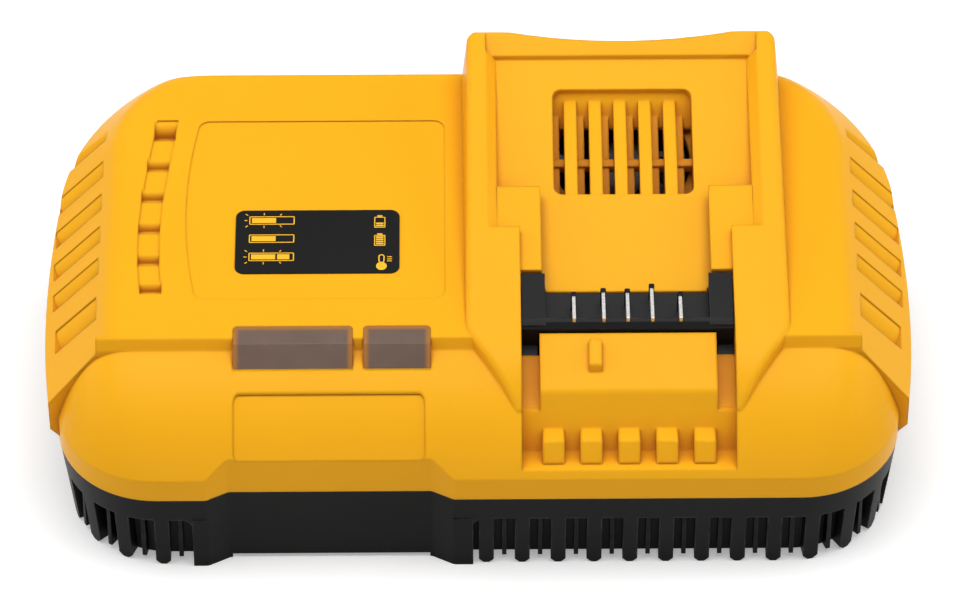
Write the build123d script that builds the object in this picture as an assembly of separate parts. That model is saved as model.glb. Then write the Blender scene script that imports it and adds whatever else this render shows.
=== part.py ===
"""Slide-on battery charger: a two-shell housing with a sloped battery dock, a spade-terminal block,
a fan under the dock vent, two smoked indicator lenses and a mains board inside.

Frame: +Z up, front towards -Y, origin on the ground under the middle of the housing. Millimetres.
"""

import math
import os

from build123d import *

# ---------------------------------------------------------------- driving dimensions
# Housing
BODY_WIDTH = 233.2
BODY_DEPTH = 125.0
WALL = 2.5
PARTING_Z = 25.0
REAR_CORNER = 32.0
SIDE_BULGE = 2.2

# Plateau: the gently pitched top, the side slope that wraps its rear corners, and the cheeks
PLATEAU_Z = 57.0
PLATEAU_PITCH = 4.2
LEDGE_SETBACK = 28.5
LEDGE_SLANT = 1.3
RIDGE_HALF = 97.6
RIDGE_CORNER = 27.0
RIDGE_OVERRUN = 2.5
SIDE_SLOPE = 48.0
RIDGE_ROUND = 7.0
CHEEK_INNER_X = 96.5
CHEEK_FORWARD = 4.9
CHEEK_FOOT_Z = 25.4
CHEEK_CHAMFER = 4.4
CHEEK_RISE = 6.2

# Hood: the rounded front, one small step below the plateau
HOOD_HALF = 112.2
HOOD_TOP_HALF = 99.0
HOOD_CORNER = 27.0
HOOD_TOP_CORNER = 7.0
HOOD_STEP = 3.2
HOOD_RADIUS = 44.7
BAND_HEIGHT = 7.2

# Front recess between the two base posts
RECESS_LEFT = -66.5
RECESS_RIGHT = -12.7
RECESS_FLARE = 5.9
RECESS_DEPTH = 3.2
RECESS_ROUND = 2.6

# Battery dock
DOCK_X = 39.5
DOCK_REAR_Z = 80.2
DOCK_SLOPE = 13.5
DOCK_HALF = 44.7
DOCK_REAR_HALF = 46.1
DOCK_DRAFT = 5.7
DOCK_DRAFT_Z = 40.0
DOCK_NOSE_SIDE_Y = -32.5
DOCK_NOSE_Y = -51.5
DOCK_NOSE_HALF = 30.0
DOCK_NOSE_ROUND = 11.0
DOCK_EDGE_ROUND = 1.8
DOCK_REAR_ROUND = 7.2
DOCK_CORNER_Z = 61.6
DOCK_REAR_WALL = 3.5
CHANNEL_HALF = 34.3
CHANNEL_CHAMFER = 2.7
CHANNEL_REAR_Y = 55.4
FLOOR_REAR_DROP = 3.5
FLOOR_SLOPE = 17.0
REAR_STEP = 1.2
REAR_SAG = 3.4
SHOULDER_HALF = 28.3
SHOULDER_REAR_Y = -0.4
RAIL_HALF = 22.6
RAIL_DROP = 2.06
RAIL_REAR_Y = 13.8
RAIL_FRONT_Y = -12.3
RAIL_THICKNESS = 2.3
WELL_FRONT_Y = -30.0
WELL_END_Y = -47.6

# Stop block in front of the terminals, and the rib recess below it
STOP_HALF = 23.4
STOP_BACK_TOP = (-30.2, 54.5)
STOP_FRONT_TOP = (-46.3, 49.3)
STOP_FOOT = (-54.0, 34.4)
STOP_ROUND = 2.4
LIP_Z = 44.2
KEY_WIDTH = 3.5
KEY_X = -8.7
KEY_REAR_Y = -32.3
KEY_FRONT_Y = -41.2
KEY_HEIGHT = 2.4
KEY_ROUND = 0.8
RIB_COUNT = 5
RIB_PITCH = 10.0
RIB_WIDTH = 5.85
RIB_TOP_Z = 40.1
RIB_NOSE = 3.0
RIB_ROUND = 0.8

# Vent grille and the fan duct under it
VENT_HALF = 18.9
VENT_REAR_Y = 46.1
VENT_FRONT_Y = 14.6
VENT_ROUND = 2.4
DUCT_WALL = 1.6
DUCT_DEPTH = 10.0
SEAT_THICKNESS = 3.0
FIN_COUNT = 5
FIN_PITCH = 6.75
FIN_WIDTH = 3.4
FIN_SHIFT = -0.6
FIN_DEPTH = 8.0
FIN_SINK = 3.4
GRILLE_BAR = (-4.9, -2.6)
GRILLE_BAR_SINK = 4.9
BACK_SLOPE_RUN = 9.0
BACK_SLOPE_TOP = 1.2
BACK_RIB_SINK = 5.6
BACK_RIB_SLIT = 1.3

# Side louvres (front edge y, outer end x) and the stepped column (front edge y, middle x)
LOUVRES = ((42.7, 114.5), (29.1, 114.9), (17.0, 114.9), (5.1, 114.9), (-6.4, 114.6), (-22.7, 113.2))
LOUVRE_INNER_X = 101.7
LOUVRE_WIDTH = 6.2
LOUVRE_LAST_WIDTH = 8.4
LOUVRE_DEPTH = 5.2
LOUVRE_SLOT = (3.6, 1.3)
LOUVRE_LINER = 1.4
STEP_LINER = 1.4
STEPS = ((38.1, -85.0), (26.7, -86.6), (15.3, -87.8), (3.9, -88.3), (-7.6, -88.1), (-17.9, -87.2))
STEP_WIDTH = 5.8
STEP_LENGTH = 5.2
STEP_FIRST_LENGTH = 7.6
STEP_DEPTH = 2.3
STEP_FIRST_DEPTH = 3.6
STEP_FLOOR_SHARE = 0.5
STEP_STRIP_DEPTH = 0.45

# Shallow label recesses
LABEL_DEPTH = 0.35
LABEL_LEFT = -75.4
LABEL_RIGHT = -8.8
LABEL_REAR_Y = 45.2
LABEL_FRONT_Y = -19.9
LABEL_BULGE = 3.2
LABEL_ROUND = 3.0
LEGEND_X = (-65.0, -21.0)
LEGEND_Y = (-10.8, 12.0)
LEGEND_ROUND = 2.5
PLATE_X = (-64.9, -14.3)
PLATE_Z = (36.6, 48.8)
PLATE_DEPTH = 0.5

# Indicator lenses and the board under them
LENS_BACK_Y = -29.7
LENS_CREASE_Y = -35.9
LENS_FOOT = (-41.2, 51.2)
LENS_LONG_X = (-65.0, -33.3)
LENS_SHORT_X = (-30.5, -12.7)
LENS_THICKNESS = 2.2
LENS_SEAT = 1.3
LENS_ROUND = 1.3
LED_BOARD_Z = 43.0
LED_BOARD_X = (-72.0, -8.0)
LED_BOARD_Y = (-39.5, -18.0)
LED_X = (-57.0, -42.0, -21.6)
LED_Y = -34.5
LED_R = 2.5
LED_HEIGHT = 5.0
LED_SCREWS = ((-68.5, -21.5), (-11.5, -21.5))

# Base tray
BASE_SIDE_DRAFT = 2.5
BASE_FRONT_DRAFT = 0.8
TRAY_INSET = 3.5
TRAY_WALL = 2.2
TRAY_FLOOR_Z = 1.2
TRAY_FLOOR = 2.5
TRAY_BAND_Z = 17.3
TRAY_LIP = 1.2
TRAY_LIP_HEIGHT = 2.0
TRAY_LIP_GAP = 0.2
POST_LEFT_X = (-76.3, -66.0)
POST_RIGHT_X = (-13.2, -1.7)
SPANDREL_ROUND = 3.0
BASE_RIB_PITCH = 9.65
BASE_RIB_WIDTH = 4.0
BASE_RIB_CHAMFER = 1.3
FINE_RIB_WIDTH = 1.2
FINE_RIB_PROUD = 1.7
INLET_X = -60.0
INLET_Z = 10.5
INLET_PAD = 11.0
INLET_R = 4.5
INLET_FLANGE_R = 6.5
CORD_R = 3.3
KEYHOLE_X = 60.0
KEYHOLE_Y = -12.0
KEYHOLE_HEAD_R = 4.7
KEYHOLE_NECK_R = 2.4
KEYHOLE_RUN = 9.0
VENT_SLOTS = 7
VENT_SLOT_PITCH = 6.0
VENT_SLOT = (2.2, 26.0)

# Fasteners
SCREW_R = 1.5
SCREW_HEAD_R = 2.8
SCREW_HEAD = 2.0
SCREW_SOCKET_R = 1.0
SCREW_FIT = 0.05
SCREW_CLEAR = 0.25
BOSS_R = 3.6
COLUMN_R = 4.6
COLUMN_TOP_Z = 22.0
COUNTERBORE_Z = 8.0
HOUSING_SCREWS = ((-96.0, -32.0), (96.0, -32.0), (-92.0, 46.0), (92.0, 46.0))
HOUSING_SCREW_LENGTH = 22.0
BOARD_SCREW_LENGTH = 6.5
SHORT_SCREW_LENGTH = 6.0

# Main board and what stands on it
BOARD_Z = 10.5
BOARD_THICKNESS = 1.6
BOARD_HALF = (86.0, 41.0)
BOARD_SCREWS = ((-80.0, -35.0), (80.0, -35.0), (-80.0, 35.0), (80.0, 35.0))
CORE = (-20.0, 8.0, 36.0, 12.0, 32.0)
CORE_LEG = 10.0
CORE_YOKE = 6.0
COIL = 13.0
INPUT_CAP = (-60.0, 14.0, 9.0, 32.0)
OUTPUT_CAPS = ((20.0, 2.0), (20.0, 14.5), (31.0, 2.0))
OUTPUT_CAP = (5.0, 20.0)
SINK_X = 77.0
SINK_PLATE = 3.0
SINK_FIN = 5.0
SINK_Y = (-24.0, 26.0)
SINK_HEIGHT = 30.0
SINK_FINS = 7
PACKAGE = (4.6, 10.0, 15.5)
BRIDGE = (-52.0, -27.0, 18.0, 4.0, 16.0)
CHOKE = (-28.0, -26.0, 10.0, 5.5, 9.0)
CHOKE_WIRE = 1.2
FUSE = (-63.0, -36.5, 2.6, 20.0)
FUSE_CLIP = (4.0, 7.4, 6.0)
CHIP = (6.0, -18.0, 10.0, 8.0, 2.0)
MAINS_HEADER = (-60.0, 36.0, 12.0, 8.0, 9.0)
FAN_HEADER = (8.0, 30.0, 6.0, 5.0, 6.0)
OUTPUT_HEADER = (8.0, -33.0, 8.0, 14.0, 7.0)
WIRE_R = 1.0

# Fan, measured from the dock floor along its normal
FAN_CENTRE_Y = 30.3
FAN_SIZE = 40.0
FAN_DEPTH = 10.5
FAN_CORNER = 3.0
FAN_HOLE = 16.0
FAN_BORE_R = 18.6
FAN_HUB_R = 8.5
FAN_HUB_WALL = 1.5
FAN_TIP_GAP = 0.7
FAN_BLADES = 7
FAN_BLADE_PITCH = 40.0
FAN_BLADE_THICKNESS = 1.2
FAN_END_GAP = 0.8
FAN_AXLE_R = 1.0
FAN_RUNNING_GAP = 0.05
FAN_BEARING_R = 2.4
FAN_SPIDER = 1.6
FAN_STRUTS = 4
FAN_STRUT_WIDTH = 3.0

# Terminals
BLADE_OFFSETS = (-14.2, -6.3, 0.1, 6.6, 14.1)
BLADE_ENDS = (-18.4, -17.0, -17.2, -15.4, -18.5)
BLADE_THICKNESS = 0.9
BLADE_TOP_Z = 58.2
BLADE_TIP = 1.1
BLADE_TIP_WIDTH = 1.5
BLOCK_CLEARANCE = 0.2
BLOCK_REAR_Y = -14.2
BLOCK_FRONT_Y = -29.6
BLOCK_BASE_Z = 40.0
BLOCK_STEP_Y = -32.4
PANEL_DROP = 0.4
PILLAR_INNER = 21.8
PILLAR_DROP = 0.2
PILLAR_REAR_Y = -13.2
RIDGE_REAR = (-27.2, 57.3)
RIDGE_CREST = (-28.2, 56.8)
RIDGE_FRONT_Z = 55.6
EAR_HALF = 37.0
EAR_Y = (-26.0, -17.0)
EAR_Z = (41.5, 44.0)
EAR_SCREW = 33.4

# ---------------------------------------------------------------- derived places
HALF_W = BODY_WIDTH / 2
FRONT_Y = -BODY_DEPTH / 2
REAR_Y = BODY_DEPTH / 2
LEDGE_Y = FRONT_Y + LEDGE_SETBACK
HOOD_START = (LEDGE_Y - LEDGE_SLANT, PLATEAU_Z - HOOD_STEP)
HOOD_END = (FRONT_Y, PARTING_Z + BAND_HEIGHT)
BOARD_TOP = BOARD_Z + BOARD_THICKNESS
RECESS_Y = FRONT_Y + RECESS_DEPTH
FAR = 200.0


def circle_centre(start, end, radius):
    """Centre of the arc through two (y, z) points that lies behind and below them."""
    mid = ((start[0] + end[0]) / 2, (start[1] + end[1]) / 2)
    chord = math.dist(start, end)
    reach = math.sqrt(radius**2 - (chord / 2) ** 2)
    along = ((end[0] - start[0]) / chord, (end[1] - start[1]) / chord)
    return (mid[0] - along[1] * reach, mid[1] + along[0] * reach)


HOOD_CENTRE = circle_centre(HOOD_START, HOOD_END, HOOD_RADIUS)


def plateau_z(y):
    return PLATEAU_Z + (y - LEDGE_Y) * math.tan(math.radians(PLATEAU_PITCH))


def dock_z(y):
    """Top of the dock walls and shoulders."""
    return DOCK_REAR_Z - (REAR_Y - 2.5 - y) * math.tan(math.radians(DOCK_SLOPE))


def rail_z(y):
    return dock_z(y) - RAIL_DROP


def floor_z(y):
    """Floor of the battery channel."""
    rear = dock_z(CHANNEL_REAR_Y) - FLOOR_REAR_DROP
    return rear - (CHANNEL_REAR_Y - y) * math.tan(math.radians(FLOOR_SLOPE))


def hood_z(y):
    return HOOD_CENTRE[1] + math.sqrt(HOOD_RADIUS**2 - (HOOD_CENTRE[0] - y) ** 2)


# ---------------------------------------------------------------- helpers
def outline(points, grow=0.0):
    face = make_face(Polyline(*points, close=True))
    if grow:
        face = offset(face, grow, kind=Kind.INTERSECTION)
    return face


def prism_x(points, x0, x1, grow=0.0):
    """Solid with a (y, z) outline between two x values, grown all round by grow."""
    return extrude(Plane.YZ.offset(x0 - grow) * outline(points, grow), amount=x1 - x0 + 2 * grow)


def prism_y(points, y0, y1):
    """Solid with an (x, z) outline between two y values."""
    return extrude(Plane.XZ.offset(-y1) * outline(points), amount=y1 - y0)


def block(x, y, z):
    """Box from three (low, high) pairs."""
    centre = Pos((x[0] + x[1]) / 2, (y[0] + y[1]) / 2, (z[0] + z[1]) / 2)
    return centre * Box(x[1] - x[0], y[1] - y[0], z[1] - z[0])


def stand(x, y, length, width, height, base=BOARD_TOP):
    """Box of a given size standing on a level, centred on (x, y)."""
    return Pos(x, y, base + height / 2) * Box(length, width, height)


def post(x, y, z0, z1, radius):
    return Pos(x, y, (z0 + z1) / 2) * Cylinder(radius, z1 - z0)


def dock_prism(points, half, grow=0.0):
    return prism_x(points, DOCK_X - half, DOCK_X + half, grow)


def dock_side(points, inner, outer, grow=0.0):
    """The same outline between two distances from the middle of the dock, on both sides."""
    right = prism_x(points, DOCK_X + inner, DOCK_X + outer, grow)
    left = prism_x(points, DOCK_X - outer, DOCK_X - inner, grow)
    return left + right


def above(y0, y1, height_at, lift=60.0):
    """Outline of the space over a sloped surface between two y values."""
    return ((y0, height_at(y0)), (y1, height_at(y1)), (y1, height_at(y1) + lift), (y0, height_at(y0) + lift))


def below(y0, y1, height_at, base):
    """Outline of the material under a sloped surface down to a level."""
    return ((y0, base), (y1, base), (y1, height_at(y1)), (y0, height_at(y0)))


def screw(length):
    """Pan-head screw pointing up, the underside of its head at z = 0."""
    body = Pos(0, 0, length / 2) * Cylinder(SCREW_R, length)
    head = Pos(0, 0, -SCREW_HEAD / 2) * Cylinder(SCREW_HEAD_R, SCREW_HEAD)
    socket = Pos(0, 0, -SCREW_HEAD + 0.6) * Cylinder(SCREW_SOCKET_R, 1.3)
    return body + head - socket


def wire(points, start, end):
    """Round insulated wire along a smooth path."""
    path = Spline(*points, tangents=(start, end))
    section = Plane(origin=points[0], z_dir=start) * Circle(WIRE_R)
    return sweep(section, path=path)


# ---------------------------------------------------------------- housing forms
def plan_outline(inset):
    """Plan of the plateau body: bulged sides, round rear corners, cheeks forward of the ledge."""
    side = HALF_W - SIDE_BULGE
    lean = math.atan2(CHEEK_FORWARD, side - CHEEK_INNER_X)
    ledge = LEDGE_Y + inset
    inner_x = CHEEK_INNER_X + inset * math.tan(lean / 2)
    side = side - inset
    front = ledge - (side - inner_x) * math.tan(lean)
    corner = REAR_CORNER - inset
    back = REAR_Y - inset
    rear = back - corner
    bulge = (HALF_W - inset, (front + rear) / 2)
    edges = [
        Polyline((-side, front), (-inner_x, ledge), (inner_x, ledge), (side, front)),
        ThreePointArc((side, front), bulge, (side, rear)),
        RadiusArc((side, rear), (side - corner, back), -corner),
        Line((side - corner, back), (corner - side, back)),
        RadiusArc((corner - side, back), (-side, rear), -corner),
        ThreePointArc((-side, rear), (-bulge[0], bulge[1]), (-side, front)),
    ]
    return make_face(edges)


def plateau_slope(inset):
    """Pitched top with the side slope wrapped round the rear corners."""
    pull = inset * math.tan(math.radians(SIDE_SLOPE / 2))
    half = RIDGE_HALF - pull
    rear = REAR_Y + RIDGE_OVERRUN - pull - LEDGE_Y
    face = outline(((-half, -FAR / 2), (half, -FAR / 2), (half, rear), (-half, rear)))
    face = fillet(face.vertices().sort_by(Axis.Y)[-2:], RIDGE_CORNER - pull)
    depth = 26.0
    crown = extrude(face, amount=-depth, taper=SIDE_SLOPE - 90)
    if not inset:
        rim = crown.faces().sort_by(Axis.Z)[-1].edges()
        crown = fillet(rim.filter_by(lambda e: e.center().Y > -FAR / 2 + 1), RIDGE_ROUND)
    under = Pos(0, 0, -depth - 40) * Box(FAR * 2, FAR * 2, 80.0001)
    return Pos(0, LEDGE_Y, PLATEAU_Z) * Rot(X=PLATEAU_PITCH) * Pos(0, 0, -inset) * (crown + under)


def plateau_body(inset=0.0, z0=PARTING_Z):
    """Plateau with its side slopes and cheeks, undercut to the width of the base at the parting."""
    plan = extrude(Plane.XY.offset(z0) * plan_outline(inset), amount=FAR)
    body = plateau_slope(inset) & plan
    foot = HOOD_HALF - inset
    low = CHEEK_FOOT_Z + inset / 2
    for side in (-1, 1):
        wedge = (
            (side * foot, 0),
            (side * foot, low),
            (side * (foot + CHEEK_CHAMFER), low + CHEEK_RISE),
            (side * (foot + 20), low + CHEEK_RISE),
            (side * (foot + 20), 0),
        )
        body = body - prism_y(wedge, -FAR, FAR)
    return body


def hood_section(turn, inset):
    """Plan section of the hood at an angle from vertical along its front arc."""
    radius = HOOD_RADIUS - inset
    y = HOOD_CENTRE[0] - radius * math.sin(turn)
    z = HOOD_CENTRE[1] + radius * math.cos(turn)
    outer_y = HOOD_CENTRE[0] - HOOD_RADIUS * math.sin(turn)
    share = (outer_y - HOOD_START[0]) / (HOOD_END[0] - HOOD_START[0])
    half = HOOD_TOP_HALF + (HOOD_HALF - HOOD_TOP_HALF) * share - inset
    corner = HOOD_TOP_CORNER + (HOOD_CORNER - HOOD_TOP_CORNER) * share - inset
    face = outline(((-half, y), (half, y), (half, 0), (-half, 0)))
    return Pos(0, 0, z) * fillet(face.vertices().sort_by(Axis.Y)[:2], corner)


def hood_angles(steps):
    first = math.atan2(HOOD_CENTRE[0] - HOOD_END[0], HOOD_END[1] - HOOD_CENTRE[1])
    last = math.atan2(HOOD_CENTRE[0] - HOOD_START[0], HOOD_START[1] - HOOD_CENTRE[1])
    return [first + (last - first) * i / steps for i in range(steps + 1)]


def hood_body(inset=0.0, z0=PARTING_Z):
    sections = [hood_section(turn, inset) for turn in hood_angles(4)]
    band = extrude(sections[0], amount=z0 - sections[0].center().Z)
    return loft(sections) + band


def dock_profile():
    """Side outline of the dock: sloped top that rolls down onto the hood at the nose."""
    bend = (LEDGE_Y - 1.0, dock_z(LEDGE_Y - 1.0))
    nose = (DOCK_NOSE_Y, hood_z(DOCK_NOSE_Y) + 0.2)
    half_turn = math.degrees(math.atan2(bend[1] - nose[1], bend[0] - nose[0])) - DOCK_SLOPE
    radius = math.dist(bend, nose) / 2 / math.sin(math.radians(half_turn))
    lean = math.radians(DOCK_SLOPE)
    roll = JernArc(bend, (-math.cos(lean), -math.sin(lean)), radius, 2 * half_turn)
    tip = roll @ 1
    top = Line((REAR_Y, dock_z(REAR_Y)), bend)
    rest = Polyline((tip.X, tip.Y), (tip.X, 10), (REAR_Y, 10), (REAR_Y, dock_z(REAR_Y)))
    return make_face([top, roll, rest])


def dock_body(inset=0.0, z0=PARTING_Z):
    """Raised dock platform: drafted sides, wedge-shaped nose, sloped top."""
    rear = REAR_Y + (dock_z(REAR_Y) + 0.3 - DOCK_DRAFT_Z) * math.tan(math.radians(DOCK_DRAFT))
    points = (
        (DOCK_X - DOCK_REAR_HALF, rear),
        (DOCK_X - DOCK_HALF, DOCK_NOSE_SIDE_Y),
        (DOCK_X - DOCK_NOSE_HALF, DOCK_NOSE_Y),
        (DOCK_X + DOCK_NOSE_HALF, DOCK_NOSE_Y),
        (DOCK_X + DOCK_HALF, DOCK_NOSE_SIDE_Y),
        (DOCK_X + DOCK_REAR_HALF, rear),
    )
    face = outline(points)
    face = fillet(face.vertices().sort_by(Axis.Y)[2:4], DOCK_NOSE_ROUND)
    face = fillet(face.vertices().sort_by(Axis.Y)[-2:], DOCK_REAR_ROUND)
    side = dock_profile()
    if inset:
        face = offset(face, -inset, kind=Kind.INTERSECTION)
        side = offset(side, -inset, kind=Kind.INTERSECTION)
    raised = extrude(Plane.XY.offset(DOCK_DRAFT_Z) * face, amount=44, taper=DOCK_DRAFT)
    foot = extrude(Plane.XY.offset(z0) * face, amount=DOCK_DRAFT_Z - z0)
    slab = extrude(Plane.YZ.offset(DOCK_X - 80) * side, amount=160)
    body = (raised + foot) & slab
    if inset:
        return body - block((DOCK_X - 80, DOCK_X + 80), (REAR_Y - DOCK_REAR_WALL, REAR_Y + 8), (z0 - 1, FAR))
    hidden_corner = (DOCK_X + DOCK_REAR_HALF - 3.7, DOCK_X + DOCK_REAR_HALF + 5)
    body = body - block(hidden_corner, (REAR_Y - 4.5, REAR_Y + 8), (z0 - 1, DOCK_CORNER_Z))
    return fillet([e for e in body.edges() if is_dock_rim(e)], DOCK_EDGE_ROUND)


def is_dock_rim(edge):
    """True for the edges round the top of the dock: long rims, rear rim, rear corners and nose."""
    middle = edge.center()
    if middle.Z < DOCK_DRAFT_Z + 5:
        return False
    long_rim = edge.length > 60 and abs(middle.X - DOCK_X) > 35 and abs(middle.Y) < 30
    rear_rim = abs(middle.X - DOCK_X) < 1 and middle.Y > REAR_Y - 1
    curved = edge.geom_type != GeomType.LINE
    nose = curved and middle.Y < 0
    corner = curved and middle.Z > DOCK_REAR_Z - 2
    return long_rim or rear_rim or nose or corner


# ---------------------------------------------------------------- hollows in the housing
def channel_void(grow=0.0):
    """What the battery foot sweeps: rear channel, rail throat, undercuts and side wells."""
    rear = dock_prism(above(RAIL_REAR_Y, CHANNEL_REAR_Y, floor_z), CHANNEL_HALF, grow)
    wide = dock_prism(above(SHOULDER_REAR_Y, RAIL_REAR_Y + 0.1, rail_z), CHANNEL_HALF, grow)
    narrow = dock_prism(above(WELL_FRONT_Y, SHOULDER_REAR_Y + 0.1, rail_z), SHOULDER_HALF, grow)
    throat = dock_prism(above(WELL_FRONT_Y, RAIL_REAR_Y + 0.1, floor_z), RAIL_HALF, grow)
    front = dock_prism(above(WELL_FRONT_Y, RAIL_FRONT_Y, floor_z), SHOULDER_HALF, grow)
    ends = (RAIL_FRONT_Y - 0.1, RAIL_REAR_Y + 0.1)
    slot = (
        (ends[0], floor_z(ends[0])),
        (ends[1], floor_z(ends[1])),
        (ends[1], rail_z(ends[1]) - RAIL_THICKNESS),
        (ends[0], rail_z(ends[0]) - RAIL_THICKNESS),
    )
    under = dock_prism(slot, SHOULDER_HALF, grow)
    wells = dock_side(above(WELL_END_Y, WELL_FRONT_Y + 0.1, floor_z), STOP_HALF, SHOULDER_HALF, grow)
    return rear + wide + narrow + throat + front + under + wells


def stop_face_y(z):
    """Front face of the stop block at a height."""
    share = (STOP_FRONT_TOP[1] - z) / (STOP_FRONT_TOP[1] - STOP_FOOT[1])
    return STOP_FRONT_TOP[0] + (STOP_FOOT[0] - STOP_FRONT_TOP[0]) * share


def stop_void(grow=0.0):
    """Space over the stop block and in the rib recess in front of it."""
    back = STOP_BACK_TOP[0] + 0.4
    over = outline(
        (
            (back, STOP_BACK_TOP[1]),
            STOP_FRONT_TOP,
            STOP_FOOT,
            (FRONT_Y - 4, STOP_FOOT[1]),
            (FRONT_Y - 4, STOP_FRONT_TOP[1] + 40),
            (back, STOP_BACK_TOP[1] + 40),
        )
    )
    over = fillet(over.vertices().sort_by_distance((*STOP_FRONT_TOP, 0))[:1], STOP_ROUND)
    if grow:
        over = offset(over, grow, kind=Kind.INTERSECTION)
    half = STOP_HALF + grow
    over = extrude(Plane.YZ.offset(DOCK_X - half) * over, amount=2 * half)
    recess = (
        STOP_FRONT_TOP,
        STOP_FOOT,
        (FRONT_Y - 4, STOP_FOOT[1]),
        (FRONT_Y - 4, STOP_FRONT_TOP[1] + 40),
        (STOP_FRONT_TOP[0], STOP_FRONT_TOP[1] + 40),
    )
    lip = (
        (stop_face_y(LIP_Z) - 1, LIP_Z),
        (stop_face_y(LIP_Z) - 1, LIP_Z + 40),
        (WELL_END_Y + 0.1, LIP_Z + 40),
        (WELL_END_Y + 0.1, LIP_Z),
    )
    body = over + dock_prism(recess, SHOULDER_HALF, grow)
    return body + dock_side(lip, STOP_HALF, SHOULDER_HALF, grow)


def terminal_opening():
    """Through opening for the terminal block, with its two front steps in the side wells."""
    z = (30, 70)
    main = block((DOCK_X - SHOULDER_HALF, DOCK_X + SHOULDER_HALF), (WELL_FRONT_Y, BLOCK_REAR_Y + 0.1), z)
    step = (
        (BLOCK_STEP_Y - 0.1, 30),
        (WELL_FRONT_Y + 0.1, 30),
        (WELL_FRONT_Y + 0.1, 70),
        (BLOCK_STEP_Y - 0.1, 70),
    )
    behind = ((BLOCK_REAR_Y, 30), (PILLAR_REAR_Y + 0.1, 30), (PILLAR_REAR_Y + 0.1, 70), (BLOCK_REAR_Y, 70))
    seats = dock_side(behind, PILLAR_INNER - BLOCK_CLEARANCE, SHOULDER_HALF)
    return main + dock_side(step, STOP_HALF, SHOULDER_HALF) + seats


def rear_scoop():
    """Ramp from the channel floor to the rim, with the rim hollowed in plan."""
    half = CHANNEL_HALF + CHANNEL_CHAMFER
    start = floor_z(CHANNEL_REAR_Y) + REAR_STEP
    slope = (dock_z(REAR_Y) - start) / (REAR_Y - CHANNEL_REAR_Y)
    run = REAR_Y + 3 - CHANNEL_REAR_Y
    points = (
        (CHANNEL_REAR_Y - 0.1, start),
        (CHANNEL_REAR_Y + run, start + slope * run),
        (CHANNEL_REAR_Y + run, start + 30),
        (CHANNEL_REAR_Y - 0.1, start + 30),
    )
    return dock_prism(points, half)


def rear_hollow(grow=0.0):
    """Shallow cylinder that hollows the rear face of the dock above the plateau."""
    half = CHANNEL_HALF + CHANNEL_CHAMFER
    radius = (half**2 + REAR_SAG**2) / (2 * REAR_SAG)
    height = 2 * (DOCK_REAR_Z - plateau_z(REAR_Y) - 1 + grow)
    return Pos(DOCK_X, REAR_Y + radius - REAR_SAG, DOCK_REAR_Z) * Cylinder(radius + grow, height)


def channel_flanks():
    """Sloped inner flanks of the rear channel."""
    front, rear = SHOULDER_REAR_Y, CHANNEL_REAR_Y
    pieces = []
    for side in (-1, 1):
        foot = DOCK_X + side * CHANNEL_HALF
        top = DOCK_X + side * (CHANNEL_HALF + CHANNEL_CHAMFER)
        low = outline(((foot, rail_z(front)), (top, dock_z(front) + 0.2), (foot, dock_z(front) + 0.2)))
        high = outline(((foot, floor_z(rear)), (top, dock_z(rear) + 0.2), (foot, dock_z(rear) + 0.2)))
        pieces.append(loft([Plane.XZ.offset(-front) * low, Plane.XZ.offset(-rear) * high]))
    return pieces[0] + pieces[1]


def recess_void(grow=0.0):
    """Flared recess in the middle of the front, through both shells, with rounded corners."""
    front, back = FRONT_Y + grow - 0.01, RECESS_Y + grow
    left, right = RECESS_LEFT - grow, RECESS_RIGHT + grow
    points = (
        (left - RECESS_FLARE - 12, front),
        (left - RECESS_FLARE, front),
        (left, back),
        (right, back),
        (right + RECESS_FLARE, front),
        (right + RECESS_FLARE + 12, front),
        (right + RECESS_FLARE + 12, FRONT_Y - 20),
        (left - RECESS_FLARE - 12, FRONT_Y - 20),
    )
    face = outline(points)
    turns = face.vertices().filter_by(lambda v: left - RECESS_FLARE - 1 < v.X < right + RECESS_FLARE + 1)
    return extrude(Plane.XY.offset(-5) * fillet(turns, RECESS_ROUND), amount=65)


def slope_plane(y, side):
    """Plane on the side slope: local x runs downhill, local y runs back, local z points out."""
    lean = math.radians(SIDE_SLOPE)
    downhill = (side * math.cos(lean), 0, -math.sin(lean))
    outward = (side * math.sin(lean), 0, math.cos(lean))
    return Plane(origin=(side * RIDGE_HALF, y, plateau_z(y)), x_dir=downhill, z_dir=outward)


def louvre_void(grow=0.0):
    """Louvre pockets on both side slopes: a convex roll down to a sharp front edge."""
    scale = math.cos(math.radians(SIDE_SLOPE))
    total = None
    for side in (-1, 1):
        for front, outer in LOUVRES:
            width = LOUVRE_LAST_WIDTH if (front, outer) == LOUVRES[-1] else LOUVRE_WIDTH
            start = (LOUVRE_INNER_X - RIDGE_HALF) / scale - grow
            end = (outer - RIDGE_HALF) / scale + grow
            foot, crest = (0, -LOUVRE_DEPTH), (width, 0)
            if grow:
                face = outline(((0, 6), foot, crest, (width, 6)), grow)
            else:
                roll = ThreePointArc(foot, (0.34 * width, -0.36 * LOUVRE_DEPTH), crest)
                face = make_face([roll, Polyline(crest, (width, 6), (0, 6), foot)])
            wedge = extrude(Plane.YZ.offset(start) * face, amount=end - start)
            if side < 0:
                wedge = mirror(wedge, Plane.XZ)
            placed = slope_plane(front, side) * wedge
            total = placed if total is None else total + placed
    return total


def louvre_slots():
    """Small drain slot through the floor of the last louvre on each side."""
    front = LOUVRES[-1][0]
    along = (sum(LOUVRES[-1]) - front + LOUVRE_INNER_X) / 2 - RIDGE_HALF
    along = along / math.cos(math.radians(SIDE_SLOPE)) - 1
    total = None
    for side in (-1, 1):
        y = side * (0.3 + LOUVRE_SLOT[1] / 2)
        slot = Pos(along, y, -LOUVRE_DEPTH) * Box(LOUVRE_SLOT[0], LOUVRE_SLOT[1], 8)
        placed = slope_plane(front, side) * slot
        total = placed if total is None else total + placed
    return total


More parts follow.
